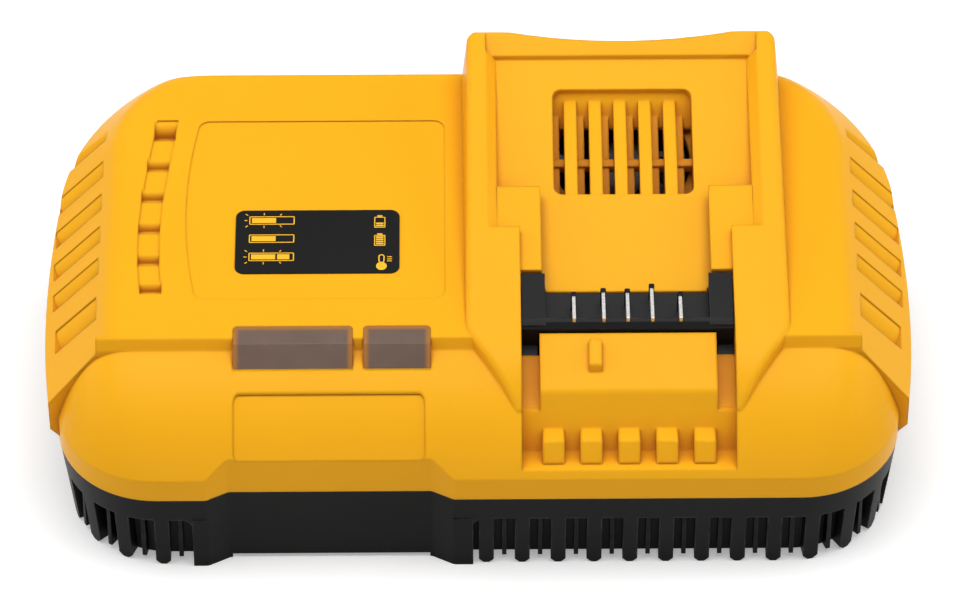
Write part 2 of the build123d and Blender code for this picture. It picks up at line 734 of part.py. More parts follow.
def step_void(grow=0.0):
    """Column of six pockets on the left of the plateau: a flat floor with a roll up to the rear."""
    total = None
    for front, x in STEPS:
        first = front == STEPS[0][0]
        length = STEP_FIRST_LENGTH if first else STEP_LENGTH
        depth = STEP_FIRST_DEPTH if first else STEP_DEPTH
        if grow:
            face = outline(((0, 1), (0, -depth), (length, -depth), (length, 1)), grow)
        else:
            floor_end, crest = (length * STEP_FLOOR_SHARE, -depth), (length, 0)
            roll = ThreePointArc(floor_end, (length * (0.3 + 0.7 * STEP_FLOOR_SHARE), -0.36 * depth), crest)
            face = make_face([roll, Polyline(crest, (length, 1), (0, 1), (0, -depth), floor_end)])
        half = STEP_WIDTH / 2 + grow
        pocket = extrude(Plane.YZ.offset(-half) * face, amount=2 * half)
        pocket = Pos(x, front, plateau_z(front)) * Rot(X=PLATEAU_PITCH) * pocket
        total = pocket if total is None else total + pocket
    return total


def step_strip():
    """Shallow strip that joins the pockets of the column."""
    half = STEP_WIDTH / 2
    ends = [(x, front) for front, x in STEPS]
    ends[0] = (STEPS[0][1] + 0.6, STEPS[0][0] + STEP_FIRST_LENGTH)
    left = [(x - half, y) for x, y in ends]
    right = [(x + half, y) for x, y in reversed(ends)]
    return plateau_panel(outline(left + right), STEP_STRIP_DEPTH)


def plateau_panel(face, depth):
    """Shallow solid sunk in the plateau under a plan outline, measured along the plateau."""
    slab = extrude(face, amount=-depth)
    return Pos(0, LEDGE_Y, PLATEAU_Z) * Rot(X=PLATEAU_PITCH) * Pos(0, -LEDGE_Y, 0) * slab


def label_void():
    mid = (LABEL_REAR_Y + LABEL_FRONT_Y) / 2
    edges = [
        Line((LABEL_LEFT, LABEL_REAR_Y), (LABEL_RIGHT, LABEL_REAR_Y)),
        Line((LABEL_RIGHT, LABEL_REAR_Y), (LABEL_RIGHT, LABEL_FRONT_Y)),
        Line((LABEL_RIGHT, LABEL_FRONT_Y), (LABEL_LEFT, LABEL_FRONT_Y)),
        ThreePointArc(
            (LABEL_LEFT, LABEL_FRONT_Y), (LABEL_LEFT - LABEL_BULGE, mid), (LABEL_LEFT, LABEL_REAR_Y)
        ),
    ]
    face = make_face(edges)
    face = fillet(face.vertices(), LABEL_ROUND)
    return plateau_panel(face, LABEL_DEPTH)


def lens_outline():
    """Section of a lens: flush with the plateau, creased, then down to the hood."""
    back = (LENS_BACK_Y, plateau_z(LENS_BACK_Y))
    crease = (LENS_CREASE_Y, PLATEAU_Z - 0.1)
    return (
        back,
        crease,
        LENS_FOOT,
        (LENS_FOOT[0] + 1.6, LENS_FOOT[1] - 1.6),
        (crease[0] + 0.9, crease[1] - LENS_THICKNESS),
        (back[0], back[1] - LENS_THICKNESS),
    )


def lens_solid(span):
    """The lens outline between two x values, with rounded rear corners in plan."""
    x0, x1 = span
    front = LENS_FOOT[0] - 2
    face = outline(((x0, front), (x1, front), (x1, LENS_BACK_Y), (x0, LENS_BACK_Y)))
    face = fillet(face.vertices().sort_by(Axis.Y)[-2:], LENS_ROUND)
    return prism_x(lens_outline(), x0, x1) & extrude(face, amount=FAR)


def lens_window(span):
    """Opening under a lens, smaller than the lens so that it seats on the edge."""
    points = (
        (LENS_BACK_Y - LENS_SEAT, PLATEAU_Z + 3),
        (LENS_FOOT[0] + 1.6 + LENS_SEAT, PLATEAU_Z + 3),
        (LENS_FOOT[0] + 1.6 + LENS_SEAT, LENS_FOOT[1] - 8),
        (LENS_BACK_Y - LENS_SEAT, LENS_FOOT[1] - 8),
    )
    return prism_x(points, span[0] + LENS_SEAT, span[1] - LENS_SEAT)


def front_plate_void():
    """Shallow rounded plate recess that follows the curve of the hood."""
    shell = hood_body() - hood_body(PLATE_DEPTH)
    points = (
        (PLATE_X[0], PLATE_Z[0]),
        (PLATE_X[1], PLATE_Z[0]),
        (PLATE_X[1], PLATE_Z[1]),
        (PLATE_X[0], PLATE_Z[1]),
    )
    face = outline(points)
    face = fillet(face.vertices(), 1.6)
    return extrude(Plane.XZ.offset(-LEDGE_Y) * face, amount=40) & shell


# ---------------------------------------------------------------- fan
def fan_plane():
    """Plane on the dock floor over the fan axis, tilted with the floor."""
    lean = math.radians(FLOOR_SLOPE)
    origin = (DOCK_X, FAN_CENTRE_Y, floor_z(FAN_CENTRE_Y))
    return Plane(origin=origin, x_dir=(1, 0, 0), z_dir=(0, -math.sin(lean), math.cos(lean)))


FAN_TOP = -(DUCT_DEPTH + SEAT_THICKNESS)
FAN_BOTTOM = FAN_TOP - FAN_DEPTH
FAN_HOLES = [(i * FAN_HOLE, j * FAN_HOLE) for i in (-1, 1) for j in (-1, 1)]


def vent_rect(grow, z0, z1):
    """Rounded vent outline in the fan plane."""
    scale = math.cos(math.radians(FLOOR_SLOPE))
    front = (VENT_FRONT_Y - FAN_CENTRE_Y) / scale - grow
    rear = (VENT_REAR_Y - FAN_CENTRE_Y) / scale + grow
    half = VENT_HALF + grow
    face = outline(((-half, front), (half, front), (half, rear), (-half, rear)))
    face = fillet(face.vertices(), VENT_ROUND + grow)
    return extrude(Plane.XY.offset(z0) * face, amount=z1 - z0)


def vent_duct():
    """Duct under the vent, with the round-bored seat that the fan hangs from."""
    half = FAN_SIZE / 2 + 1
    duct = vent_rect(DUCT_WALL, -DUCT_DEPTH, -WALL + 0.1)
    seat = block((-half, half), (-half, half), (FAN_TOP, -DUCT_DEPTH + 0.01))
    body = duct + seat - vent_rect(0, -DUCT_DEPTH, 1)
    return body - post(0, 0, FAN_TOP - 1, 1, FAN_BORE_R)


def vent_fins():
    """Arched fins and the cross bar that ties them."""
    scale = math.cos(math.radians(FLOOR_SLOPE))
    front = (VENT_FRONT_Y - FAN_CENTRE_Y) / scale - DUCT_WALL / 2
    rear = (VENT_REAR_Y - FAN_CENTRE_Y) / scale + DUCT_WALL / 2
    arch = make_face(
        [
            Polyline((rear, -FIN_SINK), (rear, -FIN_DEPTH), (front, -FIN_DEPTH), (front, -0.15)),
            ThreePointArc((front, -0.15), ((front + rear) / 2 - 3, -0.9), (rear, -FIN_SINK)),
        ]
    )
    total = None
    edge = -VENT_HALF
    for i in range(FIN_COUNT + 1):
        x = FIN_SHIFT + (i - (FIN_COUNT - 1) / 2) * FIN_PITCH - FIN_WIDTH / 2
        wall = min(x, VENT_HALF)
        rib = block((edge - 0.3, wall - BACK_RIB_SLIT), (front, rear), (-FIN_DEPTH, -BACK_RIB_SINK))
        total = rib if total is None else total + rib
        edge = x + FIN_WIDTH
        if i < FIN_COUNT:
            total = total + extrude(Plane.YZ.offset(x) * arch, amount=FIN_WIDTH)
    slope = ((rear, -BACK_SLOPE_TOP), (rear - BACK_SLOPE_RUN, -FIN_DEPTH), (rear, -FIN_DEPTH))
    half = VENT_HALF + DUCT_WALL / 2
    total = total + extrude(Plane.YZ.offset(-half) * outline(slope), amount=2 * half)
    return total + block((-half, half), GRILLE_BAR, (-FIN_DEPTH, -GRILLE_BAR_SINK))


def fan_pilots():
    total = None
    for x, y in FAN_HOLES:
        pilot = post(x, y, FAN_TOP - 1, FAN_TOP + SEAT_THICKNESS - 0.4, SCREW_R + SCREW_FIT)
        total = pilot if total is None else total + pilot
    return total


def make_fan_frame():
    half = FAN_SIZE / 2
    face = outline(((-half, -half), (half, -half), (half, half), (-half, half)))
    face = fillet(face.vertices(), FAN_CORNER)
    body = extrude(Plane.XY.offset(FAN_BOTTOM) * face, amount=FAN_DEPTH)
    body = body - post(0, 0, FAN_BOTTOM - 1, FAN_TOP + 1, FAN_BORE_R)
    body = body + post(0, 0, FAN_BOTTOM, FAN_BOTTOM + FAN_SPIDER, FAN_HUB_R)
    for i in range(FAN_STRUTS):
        strut = block(
            (0, FAN_BORE_R + 0.6),
            (-FAN_STRUT_WIDTH / 2, FAN_STRUT_WIDTH / 2),
            (FAN_BOTTOM, FAN_BOTTOM + FAN_SPIDER),
        )
        body = body + Rot(Z=45 + i * 360 / FAN_STRUTS) * strut
    bearing_top = FAN_TOP - FAN_END_GAP - FAN_HUB_WALL - 0.6
    body = body + post(0, 0, FAN_BOTTOM, bearing_top, FAN_BEARING_R)
    body = body - post(0, 0, FAN_BOTTOM - 1, FAN_TOP, FAN_AXLE_R + FAN_RUNNING_GAP)
    for x, y in FAN_HOLES:
        body = body - post(x, y, FAN_BOTTOM - 1, FAN_TOP + 1, SCREW_R + SCREW_CLEAR)
    return fan_plane() * body


def make_fan_rotor():
    top = FAN_TOP - FAN_END_GAP
    bottom = FAN_BOTTOM + FAN_SPIDER + FAN_END_GAP
    tip = FAN_BORE_R - FAN_TIP_GAP
    hub = post(0, 0, bottom, top, FAN_HUB_R)
    hub = hub - post(0, 0, bottom - 1, top - FAN_HUB_WALL, FAN_HUB_R - FAN_HUB_WALL)
    body = hub + post(0, 0, FAN_BOTTOM + 0.4, top, FAN_AXLE_R)
    ring = post(0, 0, bottom, top, tip) - post(0, 0, bottom - 1, top + 1, FAN_HUB_R - 0.4)
    reach = (FAN_HUB_R + tip) / 2
    slab = Box(tip - FAN_HUB_R + 3, 20, FAN_BLADE_THICKNESS)
    blade = Pos(reach, 0, (top + bottom) / 2) * Rot(X=FAN_BLADE_PITCH) * slab
    blade = blade & ring
    for i in range(FAN_BLADES):
        body = body + Rot(Z=i * 360 / FAN_BLADES) * blade
    return fan_plane() * body


def make_fan_screws():
    one = Pos(0, 0, FAN_BOTTOM) * screw(FAN_DEPTH + SEAT_THICKNESS - 0.6)
    return [fan_plane() * Pos(x, y, 0) * one for x, y in FAN_HOLES]


# ---------------------------------------------------------------- cover
def key_rib():
    slope = (STOP_BACK_TOP[1] - STOP_FRONT_TOP[1]) / (STOP_BACK_TOP[0] - STOP_FRONT_TOP[0])
    points = []
    profile = (
        (KEY_REAR_Y, -1.0),
        (KEY_REAR_Y - 1.2, KEY_HEIGHT),
        (KEY_FRONT_Y + 0.4, KEY_HEIGHT),
        (KEY_FRONT_Y, -1.0),
    )
    for y, lift in profile:
        points.append((y, STOP_BACK_TOP[1] + (y - STOP_BACK_TOP[0]) * slope + lift))
    x = DOCK_X + KEY_X
    rib = prism_x(points, x - KEY_WIDTH / 2, x + KEY_WIDTH / 2)
    return fillet(rib.faces().sort_by(Axis.Z)[-1].edges(), KEY_ROUND)


def recess_ribs():
    total = None
    crest = stop_face_y(RIB_TOP_Z)
    points = (
        (crest + 1.5, RIB_TOP_Z),
        (crest - 4.9, RIB_TOP_Z),
        (crest - 4.9 - RIB_NOSE, STOP_FOOT[1] + 0.6),
        (crest - 4.9 - RIB_NOSE, STOP_FOOT[1] - 1),
        (STOP_FOOT[0] + 3, STOP_FOOT[1] - 1),
    )
    for i in range(RIB_COUNT):
        x = DOCK_X + (i - (RIB_COUNT - 1) / 2) * RIB_PITCH
        rib = prism_x(points, x - RIB_WIDTH / 2, x + RIB_WIDTH / 2)
        rims = [e for e in rib.edges() if e.center().Z > STOP_FOOT[1] + 0.7 and e.center().Y < crest + 1]
        rib = fillet(rims, RIB_ROUND)
        total = rib if total is None else total + rib
    return total


def ledge_slant():
    """Slanted face between the plateau and the hood."""
    points = (
        (LEDGE_Y, PLATEAU_Z),
        (LEDGE_Y - LEDGE_SLANT, HOOD_START[1]),
        (LEDGE_Y - LEDGE_SLANT, HOOD_START[1] - 2),
        (LEDGE_Y + 1, HOOD_START[1] - 2),
        (LEDGE_Y + 1, PLATEAU_Z),
    )
    half = CHEEK_INNER_X + LEDGE_SLANT * (HALF_W - SIDE_BULGE - CHEEK_INNER_X) / CHEEK_FORWARD
    return prism_x(points, -half, half)


def cover_bosses():
    """Screw bosses that hang inside the cover."""
    total = None
    for x, y in HOUSING_SCREWS:
        boss = post(x, y, COLUMN_TOP_Z, 90, BOSS_R)
        total = boss if total is None else total + boss
    for x, y in LED_SCREWS:
        total = total + post(x, y, LED_BOARD_Z + BOARD_THICKNESS, 90, BOSS_R - 0.4)
    for side in (-1, 1):
        x = DOCK_X + side * EAR_SCREW
        total = total + post(x, sum(EAR_Y) / 2, EAR_Z[1], 90, BOSS_R - 0.4)
    return total


def cover_pilots():
    radius = SCREW_R + SCREW_FIT
    total = None
    for x, y in HOUSING_SCREWS:
        pilot = post(x, y, 10, COUNTERBORE_Z + HOUSING_SCREW_LENGTH + 1.5, radius)
        total = pilot if total is None else total + pilot
    for x, y in LED_SCREWS:
        total = total + post(x, y, 30, LED_BOARD_Z + SHORT_SCREW_LENGTH + 0.5, radius)
    for side in (-1, 1):
        x = DOCK_X + side * EAR_SCREW
        total = total + post(x, sum(EAR_Y) / 2, 30, EAR_Z[0] + SHORT_SCREW_LENGTH + 2.5, radius)
    return total


def make_top_cover():
    outer = plateau_body() + hood_body() + dock_body() + ledge_slant()
    outer = outer - rear_hollow() - recess_void()
    outer = outer - channel_void() - stop_void() - rear_scoop() - channel_flanks()
    outer = outer - louvre_void() - step_void() - step_strip() - label_void() - front_plate_void()
    inner = plateau_body(WALL, 10) + hood_body(WALL, 10) + dock_body(WALL, 10)
    inner = inner - channel_void(WALL) - stop_void(WALL) - recess_void(WALL) - rear_hollow(WALL)
    inner = inner - louvre_void(LOUVRE_LINER) - step_void(STEP_LINER)
    rear_y = CHANNEL_REAR_Y - 4
    reach = CHANNEL_HALF + 6
    keep = block((DOCK_X - reach, DOCK_X + reach), (rear_y, REAR_Y), (floor_z(rear_y) - WALL, 100))
    inner = inner - keep
    cover = outer - inner
    cover = cover + (cover_bosses() & outer)
    cover = cover - fan_plane() * vent_rect(0, -DUCT_DEPTH - 5, 5)
    cover = cover + fan_plane() * vent_duct() + fan_plane() * vent_fins()
    cover = cover - louvre_slots() + key_rib() + recess_ribs()
    cover = cover - terminal_opening() - cover_pilots() - fan_plane() * fan_pilots()
    for span in (LENS_LONG_X, LENS_SHORT_X):
        cover = cover - lens_solid(span) - lens_window(span)
    return cover


# ---------------------------------------------------------------- base tray
def tray_section(z, inset=0.0):
    """Plan of the tray at a height; the sides lean in towards the ground, the front hardly."""
    fall = (PARTING_Z - z) / PARTING_Z
    half = HOOD_HALF - BASE_SIDE_DRAFT * fall - inset
    front = FRONT_Y + BASE_FRONT_DRAFT * fall + inset
    rear = REAR_Y - BASE_SIDE_DRAFT * fall - inset
    face = outline(((-half, front), (half, front), (half, rear), (-half, rear)))
    corners = face.vertices().sort_by(Axis.Y)
    face = fillet(corners[:2], HOOD_CORNER - inset)
    face = fillet(face.vertices().filter_by(lambda v: abs(v.Y - rear) < 0.01), REAR_CORNER - 2 - inset)
    return Pos(0, 0, z) * face


def tray_solid(z0, z1, inset=0.0):
    return loft([tray_section(z0, inset), tray_section(z1, inset)], ruled=True)


def base_ribs():
    """Vertical ribs that walk round the tray, with a fine rib in each gap."""
    path = tray_section(TRAY_BAND_Z, TRAY_INSET).face().outer_wire()
    count = round(path.length / BASE_RIB_PITCH)
    coarse = rib_bar(BASE_RIB_WIDTH, TRAY_INSET + 1, 0, BASE_RIB_CHAMFER)
    fine = rib_bar(FINE_RIB_WIDTH, FINE_RIB_PROUD, TRAY_FLOOR_Z + 0.4, 0)
    ribs = []
    for i in range(2 * count):
        at = path.location_at(i / (2 * count))
        point = at.position
        outward = path.tangent_at(i / (2 * count)).cross(Vector(0, 0, 1))
        if (point + outward - Vector(0, 0, 0)).length < point.length:
            outward = outward * -1
        if skip_rib(point):
            continue
        turn = math.degrees(math.atan2(outward.Y, outward.X))
        ribs.append(Pos(point.X, point.Y, 0) * Rot(Z=turn) * (coarse if i % 2 == 0 else fine))
    return ribs


def rib_bar(width, proud, z0, chamfered):
    """One rib standing against the tray wall; its local x points outward."""
    top = TRAY_BAND_Z + 0.1
    bar = block((-1.2, proud), (-width / 2, width / 2), (z0, top))
    if chamfered:
        feet = bar.faces().sort_by(Axis.Z)[0].edges()
        bar = chamfer(feet.filter_by(Axis.X), chamfered)
    return bar


def skip_rib(point):
    in_front = point.Y < 0 and POST_LEFT_X[0] - 2.2 < point.X < POST_RIGHT_X[1] + 2.2
    at_inlet = point.Y > 0 and abs(point.X - INLET_X) < INLET_PAD + 1
    return abs(abs(point.Y) - REAR_Y) < 9 and (in_front or at_inlet)


def spandrel(x, side):
    """Rounded inner corner between a post and the band over the ribs."""
    y = (FRONT_Y, FRONT_Y + 6)
    corner = (min(x, x + side * SPANDREL_ROUND), max(x, x + side * SPANDREL_ROUND))
    body = block(corner, y, (TRAY_BAND_Z - SPANDREL_ROUND, TRAY_BAND_Z + 0.1))
    bore = Pos(x + side * SPANDREL_ROUND, FRONT_Y + 3, TRAY_BAND_Z - SPANDREL_ROUND) * Rot(X=90)
    return body - bore * Cylinder(SPANDREL_ROUND, 10)


def keyhole(x, z0, z1, grow=0.0):
    head = post(x, KEYHOLE_Y, z0, z1, KEYHOLE_HEAD_R + grow)
    half = KEYHOLE_NECK_R + grow
    neck = block((x - half, x + half), (KEYHOLE_Y, KEYHOLE_Y + KEYHOLE_RUN), (z0, z1))
    return head + neck + post(x, KEYHOLE_Y + KEYHOLE_RUN, z0, z1, KEYHOLE_NECK_R + grow)


def keyhole_box(x, grow, z0, z1):
    """Closed box over a keyhole that keeps the hanging screw away from the board."""
    half = KEYHOLE_HEAD_R + 1.2 + grow
    y0 = KEYHOLE_Y - KEYHOLE_HEAD_R - 1.2 - grow
    y1 = KEYHOLE_Y + KEYHOLE_RUN + KEYHOLE_HEAD_R + 1.2 + grow
    return block((x - half, x + half), (y0, y1), (z0, z1))


def make_base_tray():
    floor_top = TRAY_FLOOR_Z + TRAY_FLOOR
    band = tray_solid(TRAY_BAND_Z, PARTING_Z)
    lower = tray_solid(TRAY_FLOOR_Z, TRAY_BAND_Z + 0.1, TRAY_INSET)
    limit = tray_solid(0, PARTING_Z)
    surround = block((POST_LEFT_X[0], POST_RIGHT_X[1]), (FRONT_Y, FRONT_Y + 8), (0, TRAY_BAND_Z + 0.1))
    spandrels = spandrel(POST_LEFT_X[0], -1) + spandrel(POST_RIGHT_X[1], 1)
    hollow_front = block(
        (POST_LEFT_X[1], POST_RIGHT_X[0]), (FRONT_Y - 1, FRONT_Y + 9), (-1, TRAY_FLOOR_Z + 0.15)
    )
    pad = block((INLET_X - INLET_PAD, INLET_X + INLET_PAD), (REAR_Y - 9, REAR_Y), (0, TRAY_BAND_Z + 0.1))
    outer = band + lower + (surround - hollow_front) + (spandrels & limit) + (pad & limit)
    for rib in base_ribs():
        outer = outer + (rib & limit)
    outer = outer - recess_void()
    inner = tray_solid(TRAY_BAND_Z + TRAY_WALL, PARTING_Z + 0.01, WALL)
    inner = inner + tray_solid(floor_top, TRAY_BAND_Z + TRAY_WALL + 0.1, TRAY_INSET + TRAY_WALL)
    front_keep = block(
        (POST_LEFT_X[0] - 1, POST_RIGHT_X[1] + 1), (FRONT_Y, RECESS_Y + WALL), (0, PARTING_Z + 1)
    )
    pad_keep = block((INLET_X - INLET_PAD, INLET_X + INLET_PAD), (REAR_Y - 8.5, REAR_Y), (0, TRAY_BAND_Z + 2))
    tray = outer - (inner - front_keep - pad_keep)
    lip = tray_solid(PARTING_Z - 2, PARTING_Z + TRAY_LIP_HEIGHT, WALL + TRAY_LIP_GAP)
    lip = lip - tray_solid(PARTING_Z - 3, PARTING_Z + TRAY_LIP_HEIGHT + 1, WALL + TRAY_LIP_GAP + TRAY_LIP)
    lip_gap = block((RECESS_LEFT - 11, RECESS_RIGHT + 11), (FRONT_Y, RECESS_Y + WALL + TRAY_LIP_GAP), (0, 60))
    tray = tray + (lip - lip_gap)
    for x, y in HOUSING_SCREWS:
        tray = tray + post(x, y, TRAY_FLOOR_Z, COLUMN_TOP_Z, COLUMN_R)
        tray = tray - post(x, y, -1, COUNTERBORE_Z, SCREW_HEAD_R + 0.3)
        tray = tray - post(x, y, 0, COLUMN_TOP_Z + 1, SCREW_R + SCREW_CLEAR)
    for x, y in BOARD_SCREWS:
        tray = tray + post(x, y, TRAY_FLOOR_Z, BOARD_Z, BOSS_R)
        tray = tray - post(x, y, floor_top + 0.5, BOARD_Z + 1, SCREW_R + SCREW_FIT)
    for x in (-KEYHOLE_X, KEYHOLE_X):
        tray = tray + keyhole_box(x, 1.2, TRAY_FLOOR_Z, BOARD_Z - 0.6)
        tray = tray - keyhole_box(x, 0, floor_top, BOARD_Z - 1.8)
        tray = tray - keyhole(x, -1, floor_top + 0.1)
    for i in range(VENT_SLOTS):
        for x in (0.0, 30.0):
            y = (i - (VENT_SLOTS - 1) / 2) * VENT_SLOT_PITCH
            tray = tray - stand(x, y, VENT_SLOT[1], VENT_SLOT[0], 10, -2)
    tray = tray - Pos(INLET_X, REAR_Y, INLET_Z) * Rot(X=90) * Cylinder(INLET_R, 40)
    return tray - Pos(INLET_X, REAR_Y, INLET_Z) * Rot(X=90) * Cylinder(INLET_FLANGE_R + 0.1, 7)


def make_cord_inlet():
    """Grommet that the mains cord passes through, flange outside and lip inside."""
    seat = REAR_Y - 3.5
    inner = REAR_Y - 9
    sleeve = Pos(INLET_X, (seat + inner) / 2, INLET_Z) * Rot(X=90) * Cylinder(INLET_R - 0.02, seat - inner)
    flange = Pos(INLET_X, seat + 1.0, INLET_Z) * Rot(X=90) * Cylinder(INLET_FLANGE_R, 2.0)
    lip = Pos(INLET_X, inner - 0.75, INLET_Z) * Rot(X=90) * Cylinder(INLET_R + 1.2, 1.5)
    bore = Pos(INLET_X, inner, INLET_Z) * Rot(X=90) * Cylinder(CORD_R, 30)
    return sleeve + flange + lip - bore


# ---------------------------------------------------------------- terminals
def blade(offset_x, end, top=BLADE_TOP_Z, bottom=BLOCK_BASE_Z - 2.6):
    x = DOCK_X + offset_x
    half = BLADE_THICKNESS / 2
    return block((x - half, x + half), (RIDGE_CREST[0], end - BLADE_TIP), (bottom, top))


def make_terminal_blades():
    return [blade(x, end) for x, end in zip(BLADE_OFFSETS, BLADE_ENDS)]


def make_terminal_block():
    half = SHOULDER_HALF - BLOCK_CLEARANCE
    skirt = below(BLOCK_FRONT_Y, BLOCK_REAR_Y, lambda y: floor_z(y) - PANEL_DROP, BLOCK_BASE_Z)
    panel = dock_prism(skirt, half)
    pillar = below(BLOCK_FRONT_Y + 0.5, PILLAR_REAR_Y, lambda y: rail_z(y) - PILLAR_DROP, BLOCK_BASE_Z)
    pillars = dock_side(pillar, PILLAR_INNER, half)
    wall = (
        (RIDGE_REAR[0], BLOCK_BASE_Z),
        RIDGE_REAR,
        RIDGE_CREST,
        (BLOCK_FRONT_Y, RIDGE_FRONT_Z),
        (BLOCK_FRONT_Y, BLOCK_BASE_Z),
    )
    tread = below(BLOCK_STEP_Y, BLOCK_FRONT_Y + 0.1, lambda y: floor_z(y) - 0.2, BLOCK_BASE_Z)
    steps = dock_side(tread, STOP_HALF + 0.5, half)
    body = panel + pillars + dock_prism(wall, half) + steps
    for x, end in zip(BLADE_OFFSETS, BLADE_ENDS):
        centre = DOCK_X + x
        width = (centre - BLADE_TIP_WIDTH / 2, centre + BLADE_TIP_WIDTH / 2)
        tip = block(width, (end - BLADE_TIP - 0.2, end), (BLOCK_BASE_Z + 2, BLADE_TOP_Z + 0.3))
        body = body + fillet(tip.edges().filter_by(Axis.Z), 0.5)
    body = body + block((DOCK_X - EAR_HALF, DOCK_X + EAR_HALF), EAR_Y, EAR_Z)
    for x, end in zip(BLADE_OFFSETS, BLADE_ENDS):
        body = body - blade(x, end)
    for side in (-1, 1):
        body = body - post(DOCK_X + side * EAR_SCREW, sum(EAR_Y) / 2, 30, 60, SCREW_R + SCREW_CLEAR)
    return body


def make_terminal_board():
    z = (BLOCK_BASE_Z - BOARD_THICKNESS, BLOCK_BASE_Z)
    board = block((DOCK_X - 26, DOCK_X + 26), (BLOCK_STEP_Y + 1, BLOCK_REAR_Y), z)
    for x, end in zip(BLADE_OFFSETS, BLADE_ENDS):
        board = board - blade(x, end)
    return board


def make_block_screws():
    one = screw(SHORT_SCREW_LENGTH + 2)
    return [Pos(DOCK_X + side * EAR_SCREW, sum(EAR_Y) / 2, EAR_Z[0]) * one for side in (-1, 1)]


# ---------------------------------------------------------------- indicators
def make_lens(span):
    gap = 0.05
    return lens_solid((span[0] + gap, span[1] - gap))


def make_led_board():
    board = block(LED_BOARD_X, LED_BOARD_Y, (LED_BOARD_Z, LED_BOARD_Z + BOARD_THICKNESS))
    for x, y in LED_SCREWS:
        board = board - post(x, y, LED_BOARD_Z - 1, LED_BOARD_Z + 5, SCREW_R + SCREW_CLEAR)
    return board


def make_leds():
    base = LED_BOARD_Z + BOARD_THICKNESS
    leds = []
    for x in LED_X:
        body = post(x, LED_Y, base, base + LED_HEIGHT - LED_R, LED_R)
        leds.append(body + Pos(x, LED_Y, base + LED_HEIGHT - LED_R) * Sphere(LED_R))
    return leds


def make_led_screws():
    return [Pos(x, y, LED_BOARD_Z) * screw(SHORT_SCREW_LENGTH) for x, y in LED_SCREWS]


def make_legend_label():
    points = (
        (LEGEND_X[0], LEGEND_Y[0]),
        (LEGEND_X[1], LEGEND_Y[0]),
        (LEGEND_X[1], LEGEND_Y[1]),
        (LEGEND_X[0], LEGEND_Y[1]),
    )
    face = fillet(outline(points).vertices(), LEGEND_ROUND)
    return plateau_panel(face, LABEL_DEPTH)


# ---------------------------------------------------------------- main board
def make_main_board():
    board = block((-BOARD_HALF[0], BOARD_HALF[0]), (-BOARD_HALF[1], BOARD_HALF[1]), (BOARD_Z, BOARD_TOP))
    for x, y in BOARD_SCREWS:
        board = board - post(x, y, BOARD_Z - 1, BOARD_TOP + 1, SCREW_R + SCREW_CLEAR)
    return board


def make_board_screws():
    one = Rot(X=180) * screw(BOARD_SCREW_LENGTH)
    return [Pos(x, y, BOARD_TOP) * one for x, y in BOARD_SCREWS]


def make_housing_screws():
    return [Pos(x, y, COUNTERBORE_Z) * screw(HOUSING_SCREW_LENGTH) for x, y in HOUSING_SCREWS]


def make_transformer():
    x, y, length, width, height = CORE
    window = (length - CORE_LEG) / 2 - CORE_YOKE
    core = stand(x, y, length, width, height)
    for side in (-1, 1):
        centre = x + side * (CORE_LEG + window) / 2
        core = core - stand(centre, y, window, width + 2, height - 2 * CORE_YOKE, BOARD_TOP + CORE_YOKE)
    coil_height = height - 2 * CORE_YOKE - 0.1
    coil = stand(x, y, CORE_LEG + 2 * window - 0.1, 2 * COIL, coil_height, BOARD_TOP + CORE_YOKE)
    coil = fillet(coil.edges().filter_by(Axis.Z), 4.0)
    coil = coil - stand(x, y, CORE_LEG + 0.1, width + 0.1, height, BOARD_TOP)
    return core, coil


def make_choke():
    x, y, outer, inner, height = CHOKE
    base = BOARD_TOP + CHOKE_WIRE
    core = post(x, y, base, base + height, outer) - post(x, y, base - 1, base + height + 1, inner)
    winding = post(x, y, BOARD_TOP, base + height + CHOKE_WIRE, outer + CHOKE_WIRE)
    winding = winding - post(x, y, BOARD_TOP - 1, base + height + 5, inner - CHOKE_WIRE)
    winding = winding - core - stand(x, y, 6, 3 * outer, 3 * height, BOARD_TOP - 5)
    return core, winding.solids()


def make_capacitor(x, y, radius, height):
    can = post(x, y, BOARD_TOP, BOARD_TOP + height, radius)
    return fillet(can.edges().sort_by(Axis.Z)[-1], 1.0)


def make_heat_sink(side):
    height = SINK_HEIGHT
    near, far = side * SINK_X, side * (SINK_X + SINK_PLATE)
    sink = block((min(near, far), max(near, far)), SINK_Y, (BOARD_TOP, BOARD_TOP + height))
    tip = side * (SINK_X + SINK_PLATE + SINK_FIN)
    for i in range(SINK_FINS):
        y = SINK_Y[0] + 0.7 + i * (SINK_Y[1] - SINK_Y[0] - 1.4) / (SINK_FINS - 1)
        span = (min(far, tip), max(far, tip))
        sink = sink + block(span, (y - 0.7, y + 0.7), (BOARD_TOP, BOARD_TOP + height))
    return sink


def make_package(side):
    """Flat power device clamped against the inner face of a heat sink."""
    thick, wide, tall = PACKAGE
    return stand(side * (SINK_X - thick / 2), 2.0, thick, wide, tall, BOARD_TOP + 2) + stand(
        side * (SINK_X - thick / 2), 2.0, 1.0, wide - 3, 2.1
    )


def make_fuse():
    x, y, radius, length = FUSE
    z = BOARD_TOP + FUSE_CLIP[2] - 1
    tube = Pos(x, y, z) * Rot(Y=90) * Cylinder(radius, length)
    clips = []
    for side in (-1, 1):
        clip = stand(x + side * (length / 2 - 2.5), y, *FUSE_CLIP)
        clips.append(clip - Pos(x, y, z) * Rot(Y=90) * Cylinder(radius, length + 5))
    return tube, clips


